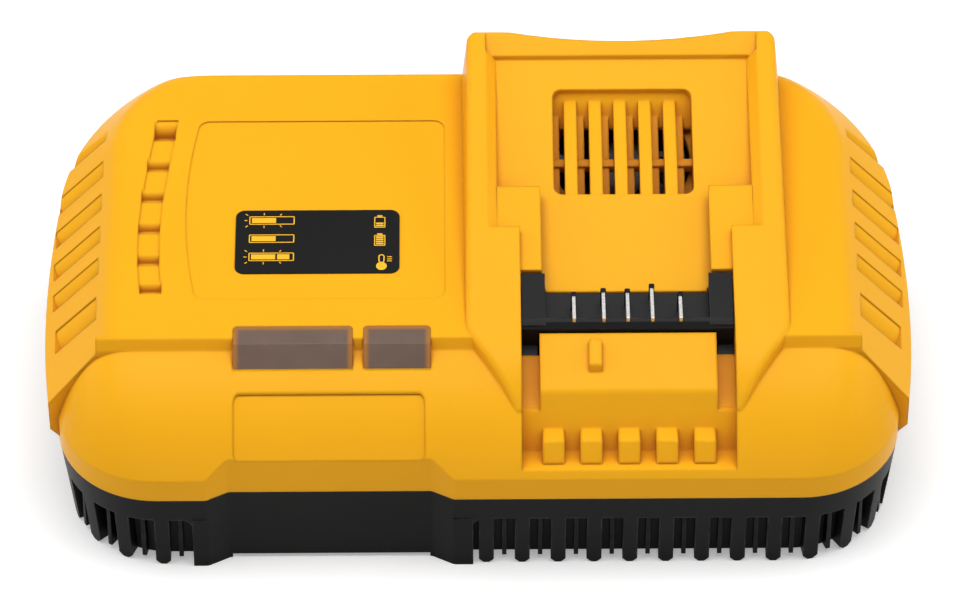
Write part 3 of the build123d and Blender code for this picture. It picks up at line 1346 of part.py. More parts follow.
def make_wires():
    board = {}
    top = BOARD_TOP
    inlet = REAR_Y - 10.5
    mains = []
    for dx in (-1.2, 1.2):
        header_y = MAINS_HEADER[1] + MAINS_HEADER[3] / 2
        start = (INLET_X + dx, inlet + 3, INLET_Z)
        end = (INLET_X + 2.5 * dx, header_y, top + 5)
        mains.append(wire((start, end), (0, -1, 0), (0, -1, 0)))
    board["mains_lead"] = mains
    x, y, length, width, height = FAN_HEADER
    frame_side = fan_plane() * Location((-FAN_SIZE / 2, 0, FAN_BOTTOM + 2))
    at = frame_side.position
    leads = []
    for dy in (-1.3, 1.3):
        leads.append(wire(((x, y + dy, top + height), (at.X, at.Y + dy, at.Z)), (0, 0, 1), (1, 0, 0)))
    board["fan_lead"] = leads
    x, y, length, width, height = OUTPUT_HEADER
    leads = []
    for i in range(4):
        dy = (i - 1.5) * 3.0
        start = (x, y + dy, top + height)
        end = (DOCK_X - 24 + i * 2.2, BLOCK_STEP_Y + 5.2 + i * 2.6, BLOCK_BASE_Z - BOARD_THICKNESS)
        leads.append(wire((start, end), (0, 0, 1), (0, 0, 1)))
    board["terminal_lead"] = leads
    return board


# ---------------------------------------------------------------- assembly
def save(name, shape):
    """Write one sub-part; a list becomes one node of separate solids."""
    if isinstance(shape, (list, tuple, ShapeList)):
        shape = Compound(children=[s if isinstance(s, Solid) else s.solid() for s in shape])
    export_step(shape, f"parts/{name}.step")


def build():
    core, coil = make_transformer()
    choke_core, choke_winding = make_choke()
    fuse, fuse_clips = make_fuse()
    pieces = {
        "top_cover": make_top_cover(),
        "base_tray": make_base_tray(),
        "terminal_block": make_terminal_block(),
        "terminal_blades": make_terminal_blades(),
        "terminal_board": make_terminal_board(),
        "block_screws": make_block_screws(),
        "indicator_lens_long": make_lens(LENS_LONG_X),
        "indicator_lens_short": make_lens(LENS_SHORT_X),
        "led_board": make_led_board(),
        "indicator_leds": make_leds(),
        "led_board_screws": make_led_screws(),
        "legend_label": make_legend_label(),
        "fan_frame": make_fan_frame(),
        "fan_rotor": make_fan_rotor(),
        "fan_screws": make_fan_screws(),
        "main_board": make_main_board(),
        "board_screws": make_board_screws(),
        "housing_screws": make_housing_screws(),
        "transformer_core": core,
        "transformer_winding": coil,
        "line_choke_core": choke_core,
        "line_choke_winding": choke_winding,
        "input_capacitor": make_capacitor(*INPUT_CAP),
        "output_capacitors": [make_capacitor(x, y, *OUTPUT_CAP) for x, y in OUTPUT_CAPS],
        "primary_heat_sink": make_heat_sink(-1),
        "output_heat_sink": make_heat_sink(1),
        "power_transistor": make_package(-1),
        "output_rectifier": make_package(1),
        "bridge_rectifier": stand(*BRIDGE),
        "fuse": fuse,
        "fuse_clips": fuse_clips,
        "control_chip": stand(*CHIP),
        "mains_header": stand(*MAINS_HEADER),
        "fan_header": stand(*FAN_HEADER),
        "output_header": stand(*OUTPUT_HEADER),
        "cord_inlet": make_cord_inlet(),
    }
    pieces.update(make_wires())
    return pieces


def main():
    os.makedirs("parts", exist_ok=True)
    for name, shape in build().items():
        save(name, shape)


if __name__ == "__main__":
    main()
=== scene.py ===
"""Looks of a slide-on battery charger: moulded yellow shell, ribbed black tray, terminals, smoked
indicator lenses, printed legend, fan and mains board, with the stage that shows them.

Sizes are in millimetres here and are turned into metres where a mesh is made.
"""

import math

import bmesh
import bpy
from mathutils import Matrix, Vector


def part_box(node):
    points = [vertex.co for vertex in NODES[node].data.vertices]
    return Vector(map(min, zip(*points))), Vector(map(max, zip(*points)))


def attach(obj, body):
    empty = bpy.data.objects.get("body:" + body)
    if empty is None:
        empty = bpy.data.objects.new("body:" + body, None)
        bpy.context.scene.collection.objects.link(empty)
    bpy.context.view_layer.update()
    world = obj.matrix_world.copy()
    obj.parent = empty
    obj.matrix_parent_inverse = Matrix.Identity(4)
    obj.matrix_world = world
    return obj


bl_info = {
    "name": "Battery Charger Finishes",
    "version": (1, 0, 0),
    "blender": (4, 5, 0),
    "location": "3D View > Sidebar > Charger",
    "description": "Dresses the frame of a slide-on battery charger and sets its stage",
    "category": "Object",
}

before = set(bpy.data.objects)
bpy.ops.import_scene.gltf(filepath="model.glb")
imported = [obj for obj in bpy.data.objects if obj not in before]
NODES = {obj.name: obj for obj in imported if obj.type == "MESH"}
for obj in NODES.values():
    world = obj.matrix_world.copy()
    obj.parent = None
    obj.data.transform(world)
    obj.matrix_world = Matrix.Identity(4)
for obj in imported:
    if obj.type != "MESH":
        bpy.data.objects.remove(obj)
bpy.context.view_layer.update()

HOUSING = "housing"
MM = 0.001
PLATEAU_ORIGIN = (0.0, -34.0, 57.0)
PLATEAU_PITCH = math.radians(4.2)

# sockets of the colour mix node
MIX_FIRST = 6
MIX_SECOND = 7
MIX_RESULT = 2

# moulded plastic
NOISE_MIDDLE = (0.3, 0.7)
CLOUD_MM = 38.0
GRAIN_STRENGTH = 0.35
GLOSS_DRIFT = 0.05
# edges that lighten: partly wear, partly a painted edge highlight
RUB_AND_HIGHLIGHT_WIDTH = 1.6
RUB_AND_HIGHLIGHT_RANGE = (0.995, 0.8)
SCRATCH_MM = 4.0
SCRATCH_RANGE = (0.35, 0.75)
RUB_AND_HIGHLIGHT_LIFT = 0.16
# painted shade: ambient occlusion darkens the colour in pockets and inner corners
PAINTED_SHADE_REACH_MM = 8.0
PAINTED_SHADE_RANGE = (0.8, 0.2)
PAINTED_SHADE_SHARE = 0.08

# colour, roughness, grain in mm and its depth in mm, edge radius in mm, drift of the colour
PLASTICS = {
    "fan_plastic": ((0.016, 0.016, 0.017), 0.38, 0.4, 0.02, 0.3, 0.15),
    "ferrite": ((0.05, 0.05, 0.052), 0.55, 0.8, 0.05, 0.2, 0.25),
    "device_epoxy": ((0.02, 0.02, 0.022), 0.5, 0.3, 0.02, 0.2, 0.15),
    "capacitor_sleeve": ((0.02, 0.03, 0.07), 0.25, 0.6, 0.01, 0.3, 0.1),
    "header_nylon": ((0.72, 0.7, 0.64), 0.4, 0.4, 0.01, 0.2, 0.04),
    "winding_tape": ((0.72, 0.5, 0.06), 0.35, 1.2, 0.03, 0.2, 0.08),
    "lead_black": ((0.02, 0.02, 0.02), 0.5, 0.4, 0.01, 0.1, 0.1),
    "lead_red": ((0.4, 0.02, 0.015), 0.45, 0.4, 0.01, 0.1, 0.05),
    "lead_dark_red": ((0.3, 0.02, 0.015), 0.45, 0.4, 0.01, 0.1, 0.05),
}
# colour, roughness, width of the marks in mm, how they stretch along x, y and z, edge radius in mm
METALS = {
    "blade_nickel": ((0.66, 0.65, 0.64), 0.28, 0.35, (1.0, 1.0, 12.0), 0.2),
    "screw_zinc": ((0.55, 0.55, 0.53), 0.34, 0.5, (1.0, 1.0, 6.0), 0.15),
    "sink_aluminium": ((0.7, 0.71, 0.72), 0.38, 0.6, (8.0, 8.0, 1.0), 0.15),
    "copper_wire": ((0.72, 0.34, 0.16), 0.3, 0.5, (1.0, 1.0, 5.0), 0.15),
    "clip_tin": ((0.75, 0.74, 0.72), 0.28, 0.4, (1.0, 6.0, 1.0), 0.15),
}
# colour of the solder mask, distance between the tracks in mm
BOARDS = {
    "block_board": ((0.03, 0.16, 0.06), 3.0),
    "lamp_board": ((0.9, 0.9, 0.88), 4.0),
    "board_mask": ((0.02, 0.13, 0.05), 5.0),
}
# finish of each node of the supply
ELECTRONICS = {
    "main_board": "board_mask",
    "transformer_core": "ferrite",
    "line_choke_core": "ferrite",
    "transformer_winding": "winding_tape",
    "line_choke_winding": "copper_wire",
    "input_capacitor": "capacitor_sleeve",
    "output_capacitors": "capacitor_sleeve",
    "primary_heat_sink": "sink_aluminium",
    "output_heat_sink": "sink_aluminium",
    "power_transistor": "device_epoxy",
    "output_rectifier": "device_epoxy",
    "bridge_rectifier": "device_epoxy",
    "control_chip": "device_epoxy",
    "fuse_clips": "clip_tin",
    "mains_header": "header_nylon",
    "fan_header": "header_nylon",
    "output_header": "header_nylon",
    "mains_lead": "lead_black",
    "fan_lead": "lead_red",
    "terminal_lead": "lead_dark_red",
}

# layout of the legend, in millimetres from its front left corner
ROW_PITCH = 6.6
LINE_WIDTH = 0.28
OUTER_ROUND = 0.3
INNER_ROUND = 0.1
BAR_PLACE = (3.6, 17.6)
BAR_SIZE = (12.2, 3.0)
BAR_RIM = 0.3
BAR_LIT = (0.7, 10.8)  # start and full length of the lit share
BAR_LIT_SPAN = (0.6, 2.4)  # its front and rear
BAR_SHARES = ((0.60,), (0.60,), (0.60, 0.95))
BAR_GAP = 0.5
BAR_STEADY_ROW = 1
BAR_RAYS = ((0.0, -1.0, 0.7), (4.0, 0.0, 1.0), (8.0, 0.7, 0.7))  # foot of each ray and its direction
RAY_START = 0.4
RAY_LIFT = 0.2
SIDE_RAY = (-1.3, -0.5, 1.5)  # its two ends along the bar and its place across it
CELL_PLACE = (37.2, 16.3)
CELL_SIZE = (3.0, 3.9)
CELL_CAP = (0.8, 2.2, 3.95, 4.5)  # left, right, front, rear
CELL_LEVELS = (2, 4)
CELL_BAR = (0.5, 2.5, 0.5, 0.55)  # left, right, front, depth
CELL_STEP = 0.78
BULB_PLACE = (39.2, 2.4)
BULB_RADIUS = 1.45
STEM_OUTER = (-0.85, 0.85, 1.2, 4.2, 0.8)  # left, right, front, rear, corner radius
STEM_INNER = (-0.5, 0.5, 1.5, 3.85, 0.45)
SCALE_MARKS = 3
SCALE_SPAN = (1.5, 2.8)
SCALE_START = 1.8
SCALE_STEP = 0.75

# stage, in metres
WHITE = (1.0, 1.0, 1.0)
KEY_PLACE = (0.0, 0.0, 1.3)
KEY_SIZE = (1.5, 0.9)
FILL_PLACE = (0.0, -1.5, 0.6)
FILL_TURN = (math.radians(69), 0.0, 0.0)
FILL_SIZE = (1.8, 0.7)
FILL_COLOUR = (1.0, 0.95, 0.9)
SIDE_PLACE = (1.2, 0.15, 0.6)
SIDE_TURN = math.radians(66)
SIDE_SIZE = (0.6, 1.2)
FLOOR_HALF = 4.0
FLOOR_GRAIN_MM = 60.0
FLOOR_DRIFT = 0.005
FLOOR_GLOW = 0.33
SKY_SEEN = 1.0
CAMERA_PLACE = (-0.0079, -1.0789, 1.0809)
CAMERA_TURN = (math.radians(46.0), 0.0, math.radians(-0.45))
SENSOR_WIDTH = 36.0
CLIP_NEAR = 0.05
CLIP_FAR = 20.0


# ---------------------------------------------------------------- node graphs
class Graph:
    """A material's node tree with the short calls that the finishes share."""

    def __init__(self, name):
        old = bpy.data.materials.get(name)
        if old is not None:
            bpy.data.materials.remove(old)
        self.material = bpy.data.materials.new(name)
        self.material.use_nodes = True
        self.tree = self.material.node_tree
        self.shader = self.tree.nodes["Principled BSDF"]
        self.place = self.tree.nodes.new("ShaderNodeTexCoord").outputs["Object"]

    def link(self, source, target):
        self.tree.links.new(source, target)

    def add(self, kind, **settings):
        node = self.tree.nodes.new(kind)
        for key, value in settings.items():
            setattr(node, key, value)
        return node

    def noise(self, size_mm, detail=2.0, stretch=None):
        """Noise whose features are about size_mm across."""
        node = self.add("ShaderNodeTexNoise")
        node.inputs["Scale"].default_value = 1.0 / (size_mm * MM)
        node.inputs["Detail"].default_value = detail
        source = self.place
        if stretch is not None:
            mapping = self.add("ShaderNodeMapping")
            mapping.inputs["Scale"].default_value = stretch
            self.link(source, mapping.inputs["Vector"])
            source = mapping.outputs["Vector"]
        self.link(source, node.inputs["Vector"])
        return node.outputs["Fac"]

    def spread(self, value, low, high, out_low, out_high):
        node = self.add("ShaderNodeMapRange")
        node.inputs["From Min"].default_value = low
        node.inputs["From Max"].default_value = high
        node.inputs["To Min"].default_value = out_low
        node.inputs["To Max"].default_value = out_high
        self.link(value, node.inputs["Value"])
        return node.outputs["Result"]

    def mix(self, factor, first, second):
        """Colour between two; each is a colour or a socket."""
        node = self.add("ShaderNodeMix", data_type="RGBA")
        self.feed(factor, node.inputs["Factor"])
        self.feed(first, node.inputs[MIX_FIRST])
        self.feed(second, node.inputs[MIX_SECOND])
        return node.outputs[MIX_RESULT]

    def feed(self, value, socket):
        if isinstance(value, bpy.types.NodeSocket):
            self.link(value, socket)
        elif isinstance(value, (int, float)):
            socket.default_value = value
        else:
            socket.default_value = (*value[:3], 1.0)

    def soft_edges(self, radius_mm):
        node = self.add("ShaderNodeBevel", samples=4)
        node.inputs["Radius"].default_value = radius_mm * MM
        return node.outputs["Normal"]

    def rub_and_highlight_mask(self, radius_mm, start, end):
        """1 on convex and concave edges, 0 on open faces: where edges lighten, partly wear and partly a
        painted edge highlight.
        """
        rounded = self.soft_edges(radius_mm)
        flat = self.add("ShaderNodeNewGeometry").outputs["Normal"]
        dot = self.add("ShaderNodeVectorMath", operation="DOT_PRODUCT")
        self.link(rounded, dot.inputs[0])
        self.link(flat, dot.inputs[1])
        return self.spread(dot.outputs["Value"], end, start, 1.0, 0.0)

    def painted_shade_mask(self, reach_mm, open_share, closed_share):
        """Painted shade mask from ambient occlusion: 1 in pockets and inner corners, where shade falls, 0 on
        open faces.
        """
        node = self.add("ShaderNodeAmbientOcclusion", samples=6)
        node.inputs["Distance"].default_value = reach_mm * MM
        return self.spread(node.outputs["AO"], closed_share, open_share, 1.0, 0.0)

    def relief(self, height, strength, depth_mm, normal=None):
        node = self.add("ShaderNodeBump")
        node.inputs["Strength"].default_value = strength
        node.inputs["Distance"].default_value = depth_mm * MM
        self.link(height, node.inputs["Height"])
        if normal is not None:
            self.link(normal, node.inputs["Normal"])
        self.link(node.outputs["Normal"], self.shader.inputs["Normal"])

    def larger(self, first, second):
        node = self.add("ShaderNodeMath", operation="MAXIMUM")
        self.link(first, node.inputs[0])
        self.link(second, node.inputs[1])
        return node.outputs[0]


def shade(colour, factor):
    return tuple(min(1.0, c * factor) for c in colour[:3])


def moulded_plastic(
    name, colour, roughness, grain_mm, grain_depth_mm, edge_mm, drift=0.05, wear_and_highlight=0.0, specular=0.5, painted_shade=None
):
    """Injection-moulded plastic: slight drift of the colour, a fine spark-eroded grain, softened edges.

    The pocket colour, when given, is painted shade that the colour is mixed towards in pockets and inner
    corners; the edge amount, when above zero, is how far edges lighten, partly wear from rubbing and partly
    a painted edge highlight.
    """
    g = Graph(name)
    drifted = g.spread(g.noise(CLOUD_MM, 1.0), *NOISE_MIDDLE, 0.0, 1.0)
    pigment_and_painted_light = g.mix(drifted, shade(colour, 1.0 - drift), shade(colour, 1.0 + drift))
    # lighter edges, partly wear and partly a painted edge highlight
    if wear_and_highlight > 0.0:
        rubbed_and_lit = g.rub_and_highlight_mask(edge_mm * RUB_AND_HIGHLIGHT_WIDTH, *RUB_AND_HIGHLIGHT_RANGE)
        scratch = g.spread(g.noise(SCRATCH_MM, 6.0), *SCRATCH_RANGE, 0.0, wear_and_highlight)
        amount = g.add("ShaderNodeMath", operation="MULTIPLY")
        g.link(rubbed_and_lit, amount.inputs[0])
        g.link(scratch, amount.inputs[1])
        pigment_and_painted_light = g.mix(amount.outputs[0], pigment_and_painted_light, tuple(c + RUB_AND_HIGHLIGHT_LIFT for c in colour[:3]))
    # painted shade: the colour darkens where ambient occlusion finds pockets and inner corners
    if painted_shade is not None:
        pigment_and_painted_light = g.mix(g.painted_shade_mask(PAINTED_SHADE_REACH_MM, *PAINTED_SHADE_RANGE), pigment_and_painted_light, painted_shade)
    grain = g.noise(grain_mm, 3.0)
    g.link(pigment_and_painted_light, g.shader.inputs["Base Color"])
    gloss = g.spread(grain, *NOISE_MIDDLE, roughness - GLOSS_DRIFT, roughness + GLOSS_DRIFT)
    g.link(gloss, g.shader.inputs["Roughness"])
    g.shader.inputs["Specular IOR Level"].default_value = specular
    g.relief(grain, GRAIN_STRENGTH, grain_depth_mm, g.soft_edges(edge_mm))
    return g.material


def bare_metal(name, colour, roughness, grain_mm, stretch, edge_mm):
    """Plated, drawn or extruded metal with marks that run one way."""
    g = Graph(name)
    streak = g.noise(grain_mm, 3.0, stretch)
    tone = g.spread(streak, *NOISE_MIDDLE, 0.0, 1.0)
    g.link(g.mix(tone, shade(colour, 0.86), shade(colour, 1.08)), g.shader.inputs["Base Color"])
    gloss = g.spread(streak, *NOISE_MIDDLE, roughness - 0.08, roughness + 0.1)
    g.link(gloss, g.shader.inputs["Roughness"])
    g.shader.inputs["Metallic"].default_value = 1.0
    g.relief(streak, 0.25, 0.01, g.soft_edges(edge_mm))
    return g.material


def circuit_board(name, colour, track_mm):
    """Solder mask over copper tracks."""
    g = Graph(name)
    cells = g.add("ShaderNodeTexVoronoi", feature="DISTANCE_TO_EDGE")
    cells.inputs["Scale"].default_value = 1.0 / (track_mm * MM)
    g.link(g.place, cells.inputs["Vector"])
    track = g.spread(cells.outputs["Distance"], 0.04, 0.07, 1.0, 0.0)
    g.link(g.mix(track, colour, shade(colour, 1.9)), g.shader.inputs["Base Color"])
    g.shader.inputs["Roughness"].default_value = 0.32
    g.relief(track, 0.4, 0.03)
    return g.material


def listed_finish(name):
    """Makes a finish of the tables."""
    if name in PLASTICS:
        return moulded_plastic(name, *PLASTICS[name])
    if name in METALS:
        return bare_metal(name, *METALS[name])
    return circuit_board(name, *BOARDS[name])


def dress(node, material):
    """Gives a node of the frame one finish."""
    mesh = NODES[node].data
    mesh.materials.clear()
    mesh.materials.append(material)


# ---------------------------------------------------------------- meshes
def on_plateau():
    """Matrix that carries plan millimetres onto the pitched plateau."""
    x, y, z = PLATEAU_ORIGIN
    tilt = Matrix.Rotation(PLATEAU_PITCH, 4, "X")
    slide = Matrix.Translation(Vector((x, y, z))) @ tilt @ Matrix.Translation(Vector((-x, -y, 0.0)))
    return Matrix.Scale(MM, 4) @ slide


def rect(x0, x1, y0, y1):
    return [(x0, y0), (x1, y0), (x1, y1), (x0, y1)]


def rounded_rect(x0, x1, y0, y1, radius, steps=4):
    corners = ((x1 - radius, y1 - radius, 0), (x0 + radius, y1 - radius, 90))
    corners += ((x0 + radius, y0 + radius, 180), (x1 - radius, y0 + radius, 270))
    points = []
    for cx, cy, start in corners:
        for i in range(steps + 1):
            angle = math.radians(start + 90 * i / steps)
            points.append((cx + radius * math.cos(angle), cy + radius * math.sin(angle)))
    return points


def rounded_ring(x, y, size, rim):
    """Outer and inner outline of a rounded frame."""
    outer = rounded_rect(x, x + size[0], y, y + size[1], OUTER_ROUND)
    inner = rounded_rect(x + rim, x + size[0] - rim, y + rim, y + size[1] - rim, INNER_ROUND)
    return outer, inner


def disc(x, y, radius, steps=20):
    turns = [math.tau * i / steps for i in range(steps)]
    return [(x + radius * math.cos(t), y + radius * math.sin(t)) for t in turns]


def stroke(x0, y0, x1, y1, width):
    """Outline of a straight line with a width."""
    run = Vector((x1 - x0, y1 - y0)).normalized() * width / 2
    side = Vector((-run.y, run.x))
    return [
        (x0 + side.x, y0 + side.y),
        (x0 - side.x, y0 - side.y),
        (x1 - side.x, y1 - side.y),
        (x1 + side.x, y1 + side.y),
    ]


def print_mesh(name, fills, rings, thickness_mm, matrix, material):
    """Thin printed marks: fills are outlines, rings are (outer, inner) outline pairs of equal length."""
    mesh = bpy.data.meshes.new(name)
    bm = bmesh.new()
    for points in fills:
        bm.faces.new([bm.verts.new((x, y, 0)) for x, y in points])
    for outer, inner in rings:
        far = [bm.verts.new((x, y, 0)) for x, y in outer]
        near = [bm.verts.new((x, y, 0)) for x, y in inner]
        for i in range(len(far)):
            j = (i + 1) % len(far)
            bm.faces.new((far[i], far[j], near[j], near[i]))
    bmesh.ops.recalc_face_normals(bm, faces=bm.faces)
    down = [f for f in bm.faces if f.normal.z < 0]
    bmesh.ops.reverse_faces(bm, faces=down)
    made = bmesh.ops.extrude_face_region(bm, geom=bm.faces[:])
    moved = [v for v in made["geom"] if isinstance(v, bmesh.types.BMVert)]
    bmesh.ops.translate(bm, verts=moved, vec=(0, 0, thickness_mm))
    bmesh.ops.recalc_face_normals(bm, faces=bm.faces)
    bmesh.ops.transform(bm, matrix=matrix, verts=bm.verts)
    bm.to_mesh(mesh)
    bm.free()
    mesh.materials.append(material)
    piece = bpy.data.objects.new(name, mesh)
    bpy.context.scene.collection.objects.link(piece)
    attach(piece, HOUSING)


# ---------------------------------------------------------------- settings
class ShellSettings(bpy.types.PropertyGroup):
    colour: bpy.props.FloatVectorProperty(
        name="Shell colour", description="Pigment of the moulded top cover", subtype="COLOR",
        default=(0.91, 0.43, 0.013), min=0.0, max=1.0,
    )
    # painted shade: the colour that pockets and inner corners of the cover are darkened towards
    painted_shade: bpy.props.FloatVectorProperty(
        name="Pocket colour", description="Pigment deep in pockets and inner corners", subtype="COLOR",
        default=(0.55, 0.19, 0.015), min=0.0, max=1.0,
    )
    roughness: bpy.props.FloatProperty(
        name="Roughness", description="Gloss of the moulded surface", default=0.32, min=0.05, max=1.0,
    )
    edge: bpy.props.FloatProperty(
        name="Edge softness", description="Radius that the moulded edges show, in millimetres",
        default=1.1, min=0.05, max=3.0,
    )
    grain: bpy.props.FloatProperty(
        name="Grain", description="Size of the moulding grain, in millimetres",
        default=0.35, min=0.05, max=5.0,
    )


class TraySettings(bpy.types.PropertyGroup):
    colour: bpy.props.FloatVectorProperty(
        name="Tray colour", description="Pigment of the base tray", subtype="COLOR",
        default=(0.0085, 0.0085, 0.0085), min=0.0, max=1.0,
    )
    roughness: bpy.props.FloatProperty(
        name="Roughness", description="Gloss of the tray", default=0.42, min=0.05, max=1.0,
    )
    # edges lighten partly from wear and partly as a painted edge highlight
    wear_and_highlight: bpy.props.FloatProperty(
        name="Worn edges", description="How much the rubbed edges lighten", default=0.5, min=0.0, max=1.0,
    )


class LensSettings(bpy.types.PropertyGroup):
    tint: bpy.props.FloatVectorProperty(
        name="Lens tint", description="Colour of the smoked lenses", subtype="COLOR",
        default=(0.19, 0.125, 0.095), min=0.0, max=1.0,
    )
    # painted light: the rim colour stands in for light from the yellow shell coming through the lens edges
    painted_glow: bpy.props.FloatVectorProperty(
        name="Rim tint", description="Colour of the rim beside the yellow shell", subtype="COLOR",
        default=(0.5, 0.2, 0.035), min=0.0, max=1.0,
    )
    # width of the painted light along the lens edges, in millimetres
    rim: bpy.props.FloatProperty(
        name="Rim width", description="Width of the amber rim, in millimetres",
        default=1.7, min=0.1, max=5.0,
    )
    clear: bpy.props.FloatProperty(
        name="Clearness", description="Share of light that passes through", default=0.3, min=0.0, max=1.0,
    )


class LegendSettings(bpy.types.PropertyGroup):
    ink: bpy.props.FloatVectorProperty(
        name="Ink", description="Black of the printed panel", subtype="COLOR",
        default=(0.006, 0.006, 0.006), min=0.0, max=1.0,
    )
    mark: bpy.props.FloatVectorProperty(
        name="Marks", description="Colour of the pictograms", subtype="COLOR",
        default=(0.93, 0.5, 0.03), min=0.0, max=1.0,
    )
    thickness: bpy.props.FloatProperty(
        name="Print thickness", description="Height of the print, in millimetres",
        default=0.03, min=0.01, max=0.2,
    )


class StageSettings(bpy.types.PropertyGroup):
    floor: bpy.props.FloatVectorProperty(
        name="Floor colour", description="Colour of the stage", subtype="COLOR",
        default=(0.82, 0.82, 0.82), min=0.0, max=1.0,
    )
    key: bpy.props.FloatProperty(
        name="Key light", description="Power of the overhead light", default=17.0, min=0.0, subtype="POWER",
    )
    fill: bpy.props.FloatProperty(
        name="Fill light", description="Power of the front light", default=3.0, min=0.0, subtype="POWER",
    )
    side: bpy.props.FloatProperty(
        name="Side lights", description="Power of each side light", default=5.0, min=0.0, subtype="POWER",
    )
    sky: bpy.props.FloatProperty(
        name="World", description="Strength of the surroundings", default=0.1, min=0.0,
    )
    lens: bpy.props.FloatProperty(
        name="Focal length", description="Camera focal length",
        default=207.86, min=10.0, subtype="DISTANCE_CAMERA",
    )


# ---------------------------------------------------------------- pieces
class CHARGER_OT_shell(bpy.types.Operator):
    """Moulded yellow top cover"""

    bl_idname = "charger.shell"
    bl_label = "Top cover"

    def execute(self, context):
        s = context.scene.charger_shell
        # pockets and inner corners of the cover get painted shade
        plastic = moulded_plastic(
            "shell_plastic", s.colour, s.roughness, s.grain, 0.02, s.edge,
            drift=0.012, specular=0.06, painted_shade=s.painted_shade,
        )
        dress("top_cover", plastic)
        return {"FINISHED"}


class CHARGER_OT_tray(bpy.types.Operator):
    """Ribbed black tray and the gland of its mains inlet"""

    bl_idname = "charger.tray"
    bl_label = "Base tray"

    def execute(self, context):
        s = context.scene.charger_tray
        # pockets get painted shade, a dark share of the tray colour; edges lighten partly from wear and
        # partly as a painted edge highlight
        plastic = moulded_plastic(
            "tray_plastic", s.colour, s.roughness, 0.4, 0.03, 0.5,
            drift=0.15, wear_and_highlight=s.wear_and_highlight, specular=0.08, painted_shade=shade(s.colour, PAINTED_SHADE_SHARE),
        )
        rubber = moulded_plastic(
            "gland_rubber", (0.012, 0.012, 0.012), 0.62, 0.3, 0.03, 0.3, drift=0.2, specular=0.2
        )
        dress("base_tray", plastic)
        dress("cord_inlet", rubber)
        return {"FINISHED"}


class CHARGER_OT_terminals(bpy.types.Operator):
    """Terminal block with its five plated blades"""

    bl_idname = "charger.terminals"
    bl_label = "Terminals"

    def execute(self, context):
        # edges lighten partly from wear and partly as a painted edge highlight
        nylon = moulded_plastic(
            "block_nylon", (0.006, 0.006, 0.0065), 0.34, 0.25, 0.015, 0.25, drift=0.1, wear_and_highlight=0.3, specular=0.1
        )
        dress("terminal_block", nylon)
        dress("terminal_blades", listed_finish("blade_nickel"))
        dress("terminal_board", listed_finish("block_board"))
        return {"FINISHED"}


class CHARGER_OT_lenses(bpy.types.Operator):
    """Smoked indicator lenses and the board of lamps under them"""

    bl_idname = "charger.lenses"
    bl_label = "Indicator lenses"

    def execute(self, context):
        s = context.scene.charger_lens
        for node in ("indicator_lens_long", "indicator_lens_short"):
            dress(node, self.smoked_with_painted_glow(node, s))
        dress("led_board", listed_finish("lamp_board"))
        lamp = Graph("lamp_epoxy")
        glow = lamp.noise(2.0, 1.0)
        lamp.link(lamp.mix(glow, (0.55, 0.08, 0.05), (0.7, 0.16, 0.1)), lamp.shader.inputs["Base Color"])
        lamp.shader.inputs["Roughness"].default_value = 0.15
        lamp.shader.inputs["Transmission Weight"].default_value = 0.4
        dress("indicator_leds", lamp.material)
        return {"FINISHED"}

    @staticmethod
    def smoked_with_painted_glow(node, s):
        """Smoked plastic with a painted glow along its rear and ends, standing in for light from the yellow
        shell that it runs into.
        """
        g = Graph(node + "_smoke")
        haze = g.spread(g.noise(9.0, 1.0), *NOISE_MIDDLE, 0.0, 1.0)
        smoke = g.mix(haze, shade(s.tint, 0.92), shade(s.tint, 1.08))
        low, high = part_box(node)
        split = g.add("ShaderNodeSeparateXYZ")
        g.link(g.place, split.inputs[0])
        amounts = []
        for axis, edge, inward in (("X", low.x, 1.0), ("X", high.x, -1.0), ("Y", high.y, -1.0)):
            faded = edge + inward * s.rim * MM
            full = edge + inward * s.rim * 0.4 * MM
            amounts.append(g.spread(split.outputs[axis], faded, full, 0.0, 1.0))
        # painted light along the ends and rear of the lens
        rim = g.larger(g.larger(amounts[0], amounts[1]), amounts[2])
        g.link(g.mix(rim, smoke, s.painted_glow), g.shader.inputs["Base Color"])
        g.link(g.spread(haze, 0.0, 1.0, 0.2, 0.28), g.shader.inputs["Roughness"])
        g.shader.inputs["Specular IOR Level"].default_value = 0.25
        g.shader.inputs["Transmission Weight"].default_value = s.clear
        g.shader.inputs["IOR"].default_value = 1.49
        g.relief(g.noise(1.2, 2.0), 0.08, 0.02, g.soft_edges(0.35))
        return g.material


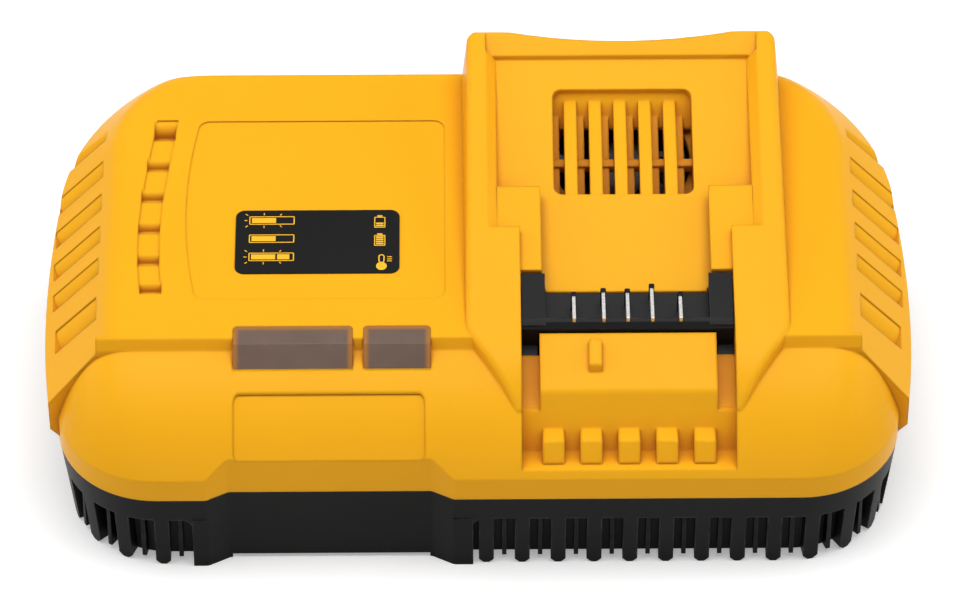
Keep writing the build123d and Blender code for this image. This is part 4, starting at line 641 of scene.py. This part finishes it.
class CHARGER_OT_legend(bpy.types.Operator):
    """Printed legend panel with plain pictograms of the indicator states"""

    bl_idname = "charger.legend"
    bl_label = "Legend"

    def execute(self, context):
        s = context.scene.charger_legend
        ink = moulded_plastic("legend_ink", s.ink, 0.45, 0.3, 0.01, 0.05, 0.2, specular=0.08)
        mark = moulded_plastic("legend_mark", s.mark, 0.45, 0.3, 0.01, 0.05, 0.03, specular=0.1)
        dress("legend_label", ink)
        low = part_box("legend_label")[0] / MM
        left = low.x
        front = PLATEAU_ORIGIN[1] + (low.y - PLATEAU_ORIGIN[1]) / math.cos(PLATEAU_PITCH)
        fills, rings = [], []
        for row, shares in enumerate(BAR_SHARES):
            y = front + BAR_PLACE[1] - ROW_PITCH * row
            self.bar(left + BAR_PLACE[0], y, shares, row != BAR_STEADY_ROW, fills, rings)
        for row, level in enumerate(CELL_LEVELS):
            self.cell(left + CELL_PLACE[0], front + CELL_PLACE[1] - ROW_PITCH * row, level, fills, rings)
        self.bulb(left + BULB_PLACE[0], front + BULB_PLACE[1], fills, rings)
        print_mesh("legend_marks", fills, rings, s.thickness, on_plateau(), mark)
        return {"FINISHED"}

    @staticmethod
    def bar(x, y, shares, blinking, fills, rings):
        """Lamp bar with its lit shares and, if it blinks, its rays."""
        rings.append(rounded_ring(x, y, BAR_SIZE, BAR_RIM))
        start = x + BAR_LIT[0]
        for share in shares:
            end = x + BAR_LIT[0] + BAR_LIT[1] * share
            fills.append(rect(start, end, y + BAR_LIT_SPAN[0], y + BAR_LIT_SPAN[1]))
            start = end + BAR_GAP
        if blinking:
            for cx, dx, dy in BAR_RAYS:
                x0, x1 = x + cx + RAY_START * dx, x + cx + dx
                rear = y + BAR_SIZE[1] + RAY_LIFT
                front = y - RAY_LIFT
                fills.append(stroke(x0, rear + RAY_LIFT * dy, x1, rear + dy, LINE_WIDTH))
                fills.append(stroke(x0, front - RAY_LIFT * dy, x1, front - dy, LINE_WIDTH))
            near, far, middle = SIDE_RAY
            fills.append(stroke(x + near, y + middle, x + far, y + middle, LINE_WIDTH))

    @staticmethod
    def cell(x, y, level, fills, rings):
        """Upright battery filled to one of four levels."""
        rings.append(rounded_ring(x, y, CELL_SIZE, LINE_WIDTH))
        x0, x1, y0, y1 = CELL_CAP
        fills.append(rounded_rect(x + x0, x + x1, y + y0, y + y1, INNER_ROUND))
        x0, x1, y0, height = CELL_BAR
        for i in range(level):
            base = y + y0 + CELL_STEP * i
            fills.append(rect(x + x0, x + x1, base, base + height))

    @staticmethod
    def bulb(x, y, fills, rings):
        """Thermometer with its scale marks beside it."""
        fills.append(disc(x, y, BULB_RADIUS))
        stem = []
        for x0, x1, y0, y1, radius in (STEM_OUTER, STEM_INNER):
            stem.append(rounded_rect(x + x0, x + x1, y + y0, y + y1, radius))
        rings.append(stem)
        for i in range(SCALE_MARKS):
            level = y + SCALE_START + SCALE_STEP * i
            fills.append(stroke(x + SCALE_SPAN[0], level, x + SCALE_SPAN[1], level, LINE_WIDTH))


class CHARGER_OT_fan(bpy.types.Operator):
    """Fan under the dock vent"""

    bl_idname = "charger.fan"
    bl_label = "Fan"

    def execute(self, context):
        black = listed_finish("fan_plastic")
        for node in ("fan_frame", "fan_rotor"):
            dress(node, black)
        return {"FINISHED"}


class CHARGER_OT_fasteners(bpy.types.Operator):
    """Screws that hold the shells, boards, block and fan"""

    bl_idname = "charger.fasteners"
    bl_label = "Fasteners"

    def execute(self, context):
        steel = listed_finish("screw_zinc")
        for node in ("housing_screws", "board_screws", "block_screws", "fan_screws", "led_board_screws"):
            dress(node, steel)
        return {"FINISHED"}


class CHARGER_OT_electronics(bpy.types.Operator):
    """Mains board, its parts and the internal leads"""

    bl_idname = "charger.electronics"
    bl_label = "Electronics"

    def execute(self, context):
        made = {name: listed_finish(name) for name in sorted(set(ELECTRONICS.values()))}
        for node, name in ELECTRONICS.items():
            dress(node, made[name])
        g = Graph("fuse_glass")
        smear = g.noise(3.0, 2.0)
        g.link(g.mix(smear, (0.8, 0.85, 0.84), (0.92, 0.95, 0.94)), g.shader.inputs["Base Color"])
        g.shader.inputs["Roughness"].default_value = 0.05
        g.shader.inputs["Transmission Weight"].default_value = 0.9
        dress("fuse", g.material)
        return {"FINISHED"}


class CHARGER_OT_stage(bpy.types.Operator):
    """Pale floor, soft studio light and the camera"""

    bl_idname = "charger.stage"
    bl_label = "Stage"

    def execute(self, context):
        s = context.scene.charger_stage
        context.scene.view_settings.view_transform = "Standard"
        self.floor(context, s.floor)
        self.lamp(context, "key_light", WHITE, KEY_PLACE, (0.0, 0.0, 0.0), KEY_SIZE, s.key)
        self.lamp(context, "fill_light", FILL_COLOUR, FILL_PLACE, FILL_TURN, FILL_SIZE, s.fill)
        x, y, z = SIDE_PLACE
        for name, side in (("left_light", -1), ("right_light", 1)):
            turn = (0.0, SIDE_TURN * side, 0.0)
            self.lamp(context, name, WHITE, (x * side, y, z), turn, SIDE_SIZE, s.side)
        self.world(context, s.sky)
        self.camera(context, s.lens)
        return {"FINISHED"}

    @staticmethod
    def floor(context, colour):
        mesh = bpy.data.meshes.new("floor")
        bm = bmesh.new()
        bmesh.ops.create_grid(bm, x_segments=1, y_segments=1, size=FLOOR_HALF)
        bm.to_mesh(mesh)
        bm.free()
        floor = bpy.data.objects.new("floor", mesh)
        context.scene.collection.objects.link(floor)
        g = Graph("floor_paper")
        pale, dim = shade(colour, 1.0 + FLOOR_DRIFT), shade(colour, 1.0 - FLOOR_DRIFT)
        g.link(g.mix(g.noise(FLOOR_GRAIN_MM, 2.0), dim, pale), g.shader.inputs["Base Color"])
        g.shader.inputs["Roughness"].default_value = 0.9
        g.shader.inputs["Specular IOR Level"].default_value = 0.1
        g.shader.inputs["Emission Color"].default_value = (1.0, 1.0, 1.0, 1.0)
        g.link(CHARGER_OT_stage.seen(g.tree, 0.0, FLOOR_GLOW), g.shader.inputs["Emission Strength"])
        mesh.materials.append(g.material)

    @staticmethod
    def seen(tree, unseen, seen):
        """Socket with one value for what the camera, gloss and glass see, and another for lighting."""
        path = tree.nodes.new("ShaderNodeLightPath")
        total = path.outputs["Is Camera Ray"]
        for ray in ("Is Glossy Ray", "Is Transmission Ray"):
            either = tree.nodes.new("ShaderNodeMath")
            either.operation = "MAXIMUM"
            tree.links.new(total, either.inputs[0])
            tree.links.new(path.outputs[ray], either.inputs[1])
            total = either.outputs[0]
        pick = tree.nodes.new("ShaderNodeMapRange")
        pick.inputs["To Min"].default_value = unseen
        pick.inputs["To Max"].default_value = seen
        tree.links.new(total, pick.inputs["Value"])
        return pick.outputs["Result"]

    @staticmethod
    def lamp(context, name, colour, place, turn, size, power):
        light = bpy.data.lights.new(name, "AREA")
        light.shape = "RECTANGLE"
        light.size, light.size_y = size
        light.energy = power
        light.color = colour
        lamp = bpy.data.objects.new(name, light)
        lamp.location = place
        lamp.rotation_euler = turn
        context.scene.collection.objects.link(lamp)

    @staticmethod
    def world(context, strength):
        world = bpy.data.worlds.new("studio")
        world.use_nodes = True
        background = world.node_tree.nodes["Background"]
        background.inputs["Color"].default_value = (1.0, 1.0, 1.0, 1.0)
        tree = world.node_tree
        tree.links.new(CHARGER_OT_stage.seen(tree, strength, SKY_SEEN), background.inputs["Strength"])
        context.scene.world = world

    @staticmethod
    def camera(context, focal_length):
        data = bpy.data.cameras.new("camera")
        data.lens = focal_length
        data.sensor_width = SENSOR_WIDTH
        data.clip_start = CLIP_NEAR
        data.clip_end = CLIP_FAR
        camera = bpy.data.objects.new("camera", data)
        camera.location = CAMERA_PLACE
        camera.rotation_euler = CAMERA_TURN
        context.scene.collection.objects.link(camera)
        context.scene.camera = camera


class CHARGER_PT_panel(bpy.types.Panel):
    """Buttons for the pieces of the charger"""

    bl_idname = "CHARGER_PT_panel"
    bl_label = "Charger"
    bl_space_type = "VIEW_3D"
    bl_region_type = "UI"
    bl_category = "Charger"

    def draw(self, context):
        for operator in OPERATORS:
            self.layout.operator(operator.bl_idname)
        for name in SETTINGS:
            group = getattr(context.scene, name)
            box = self.layout.box()
            for key in group.bl_rna.properties.keys():
                if key not in ("rna_type", "name"):
                    box.prop(group, key)


OPERATORS = (
    CHARGER_OT_shell,
    CHARGER_OT_tray,
    CHARGER_OT_terminals,
    CHARGER_OT_lenses,
    CHARGER_OT_legend,
    CHARGER_OT_fan,
    CHARGER_OT_fasteners,
    CHARGER_OT_electronics,
    CHARGER_OT_stage,
)
SETTINGS = {
    "charger_shell": ShellSettings,
    "charger_tray": TraySettings,
    "charger_lens": LensSettings,
    "charger_legend": LegendSettings,
    "charger_stage": StageSettings,
}


def register():
    for group in SETTINGS.values():
        bpy.utils.register_class(group)
    for operator in OPERATORS:
        bpy.utils.register_class(operator)
    bpy.utils.register_class(CHARGER_PT_panel)
    for name, group in SETTINGS.items():
        setattr(bpy.types.Scene, name, bpy.props.PointerProperty(type=group))


def unregister():
    for name in SETTINGS:
        delattr(bpy.types.Scene, name)
    bpy.utils.unregister_class(CHARGER_PT_panel)
    for operator in reversed(OPERATORS):
        bpy.utils.unregister_class(operator)
    for group in SETTINGS.values():
        bpy.utils.unregister_class(group)


def main():
    register()
    for operator in OPERATORS:
        group, name = operator.bl_idname.split(".")
        getattr(getattr(bpy.ops, group), name)()


if __name__ == "__main__":
    main()
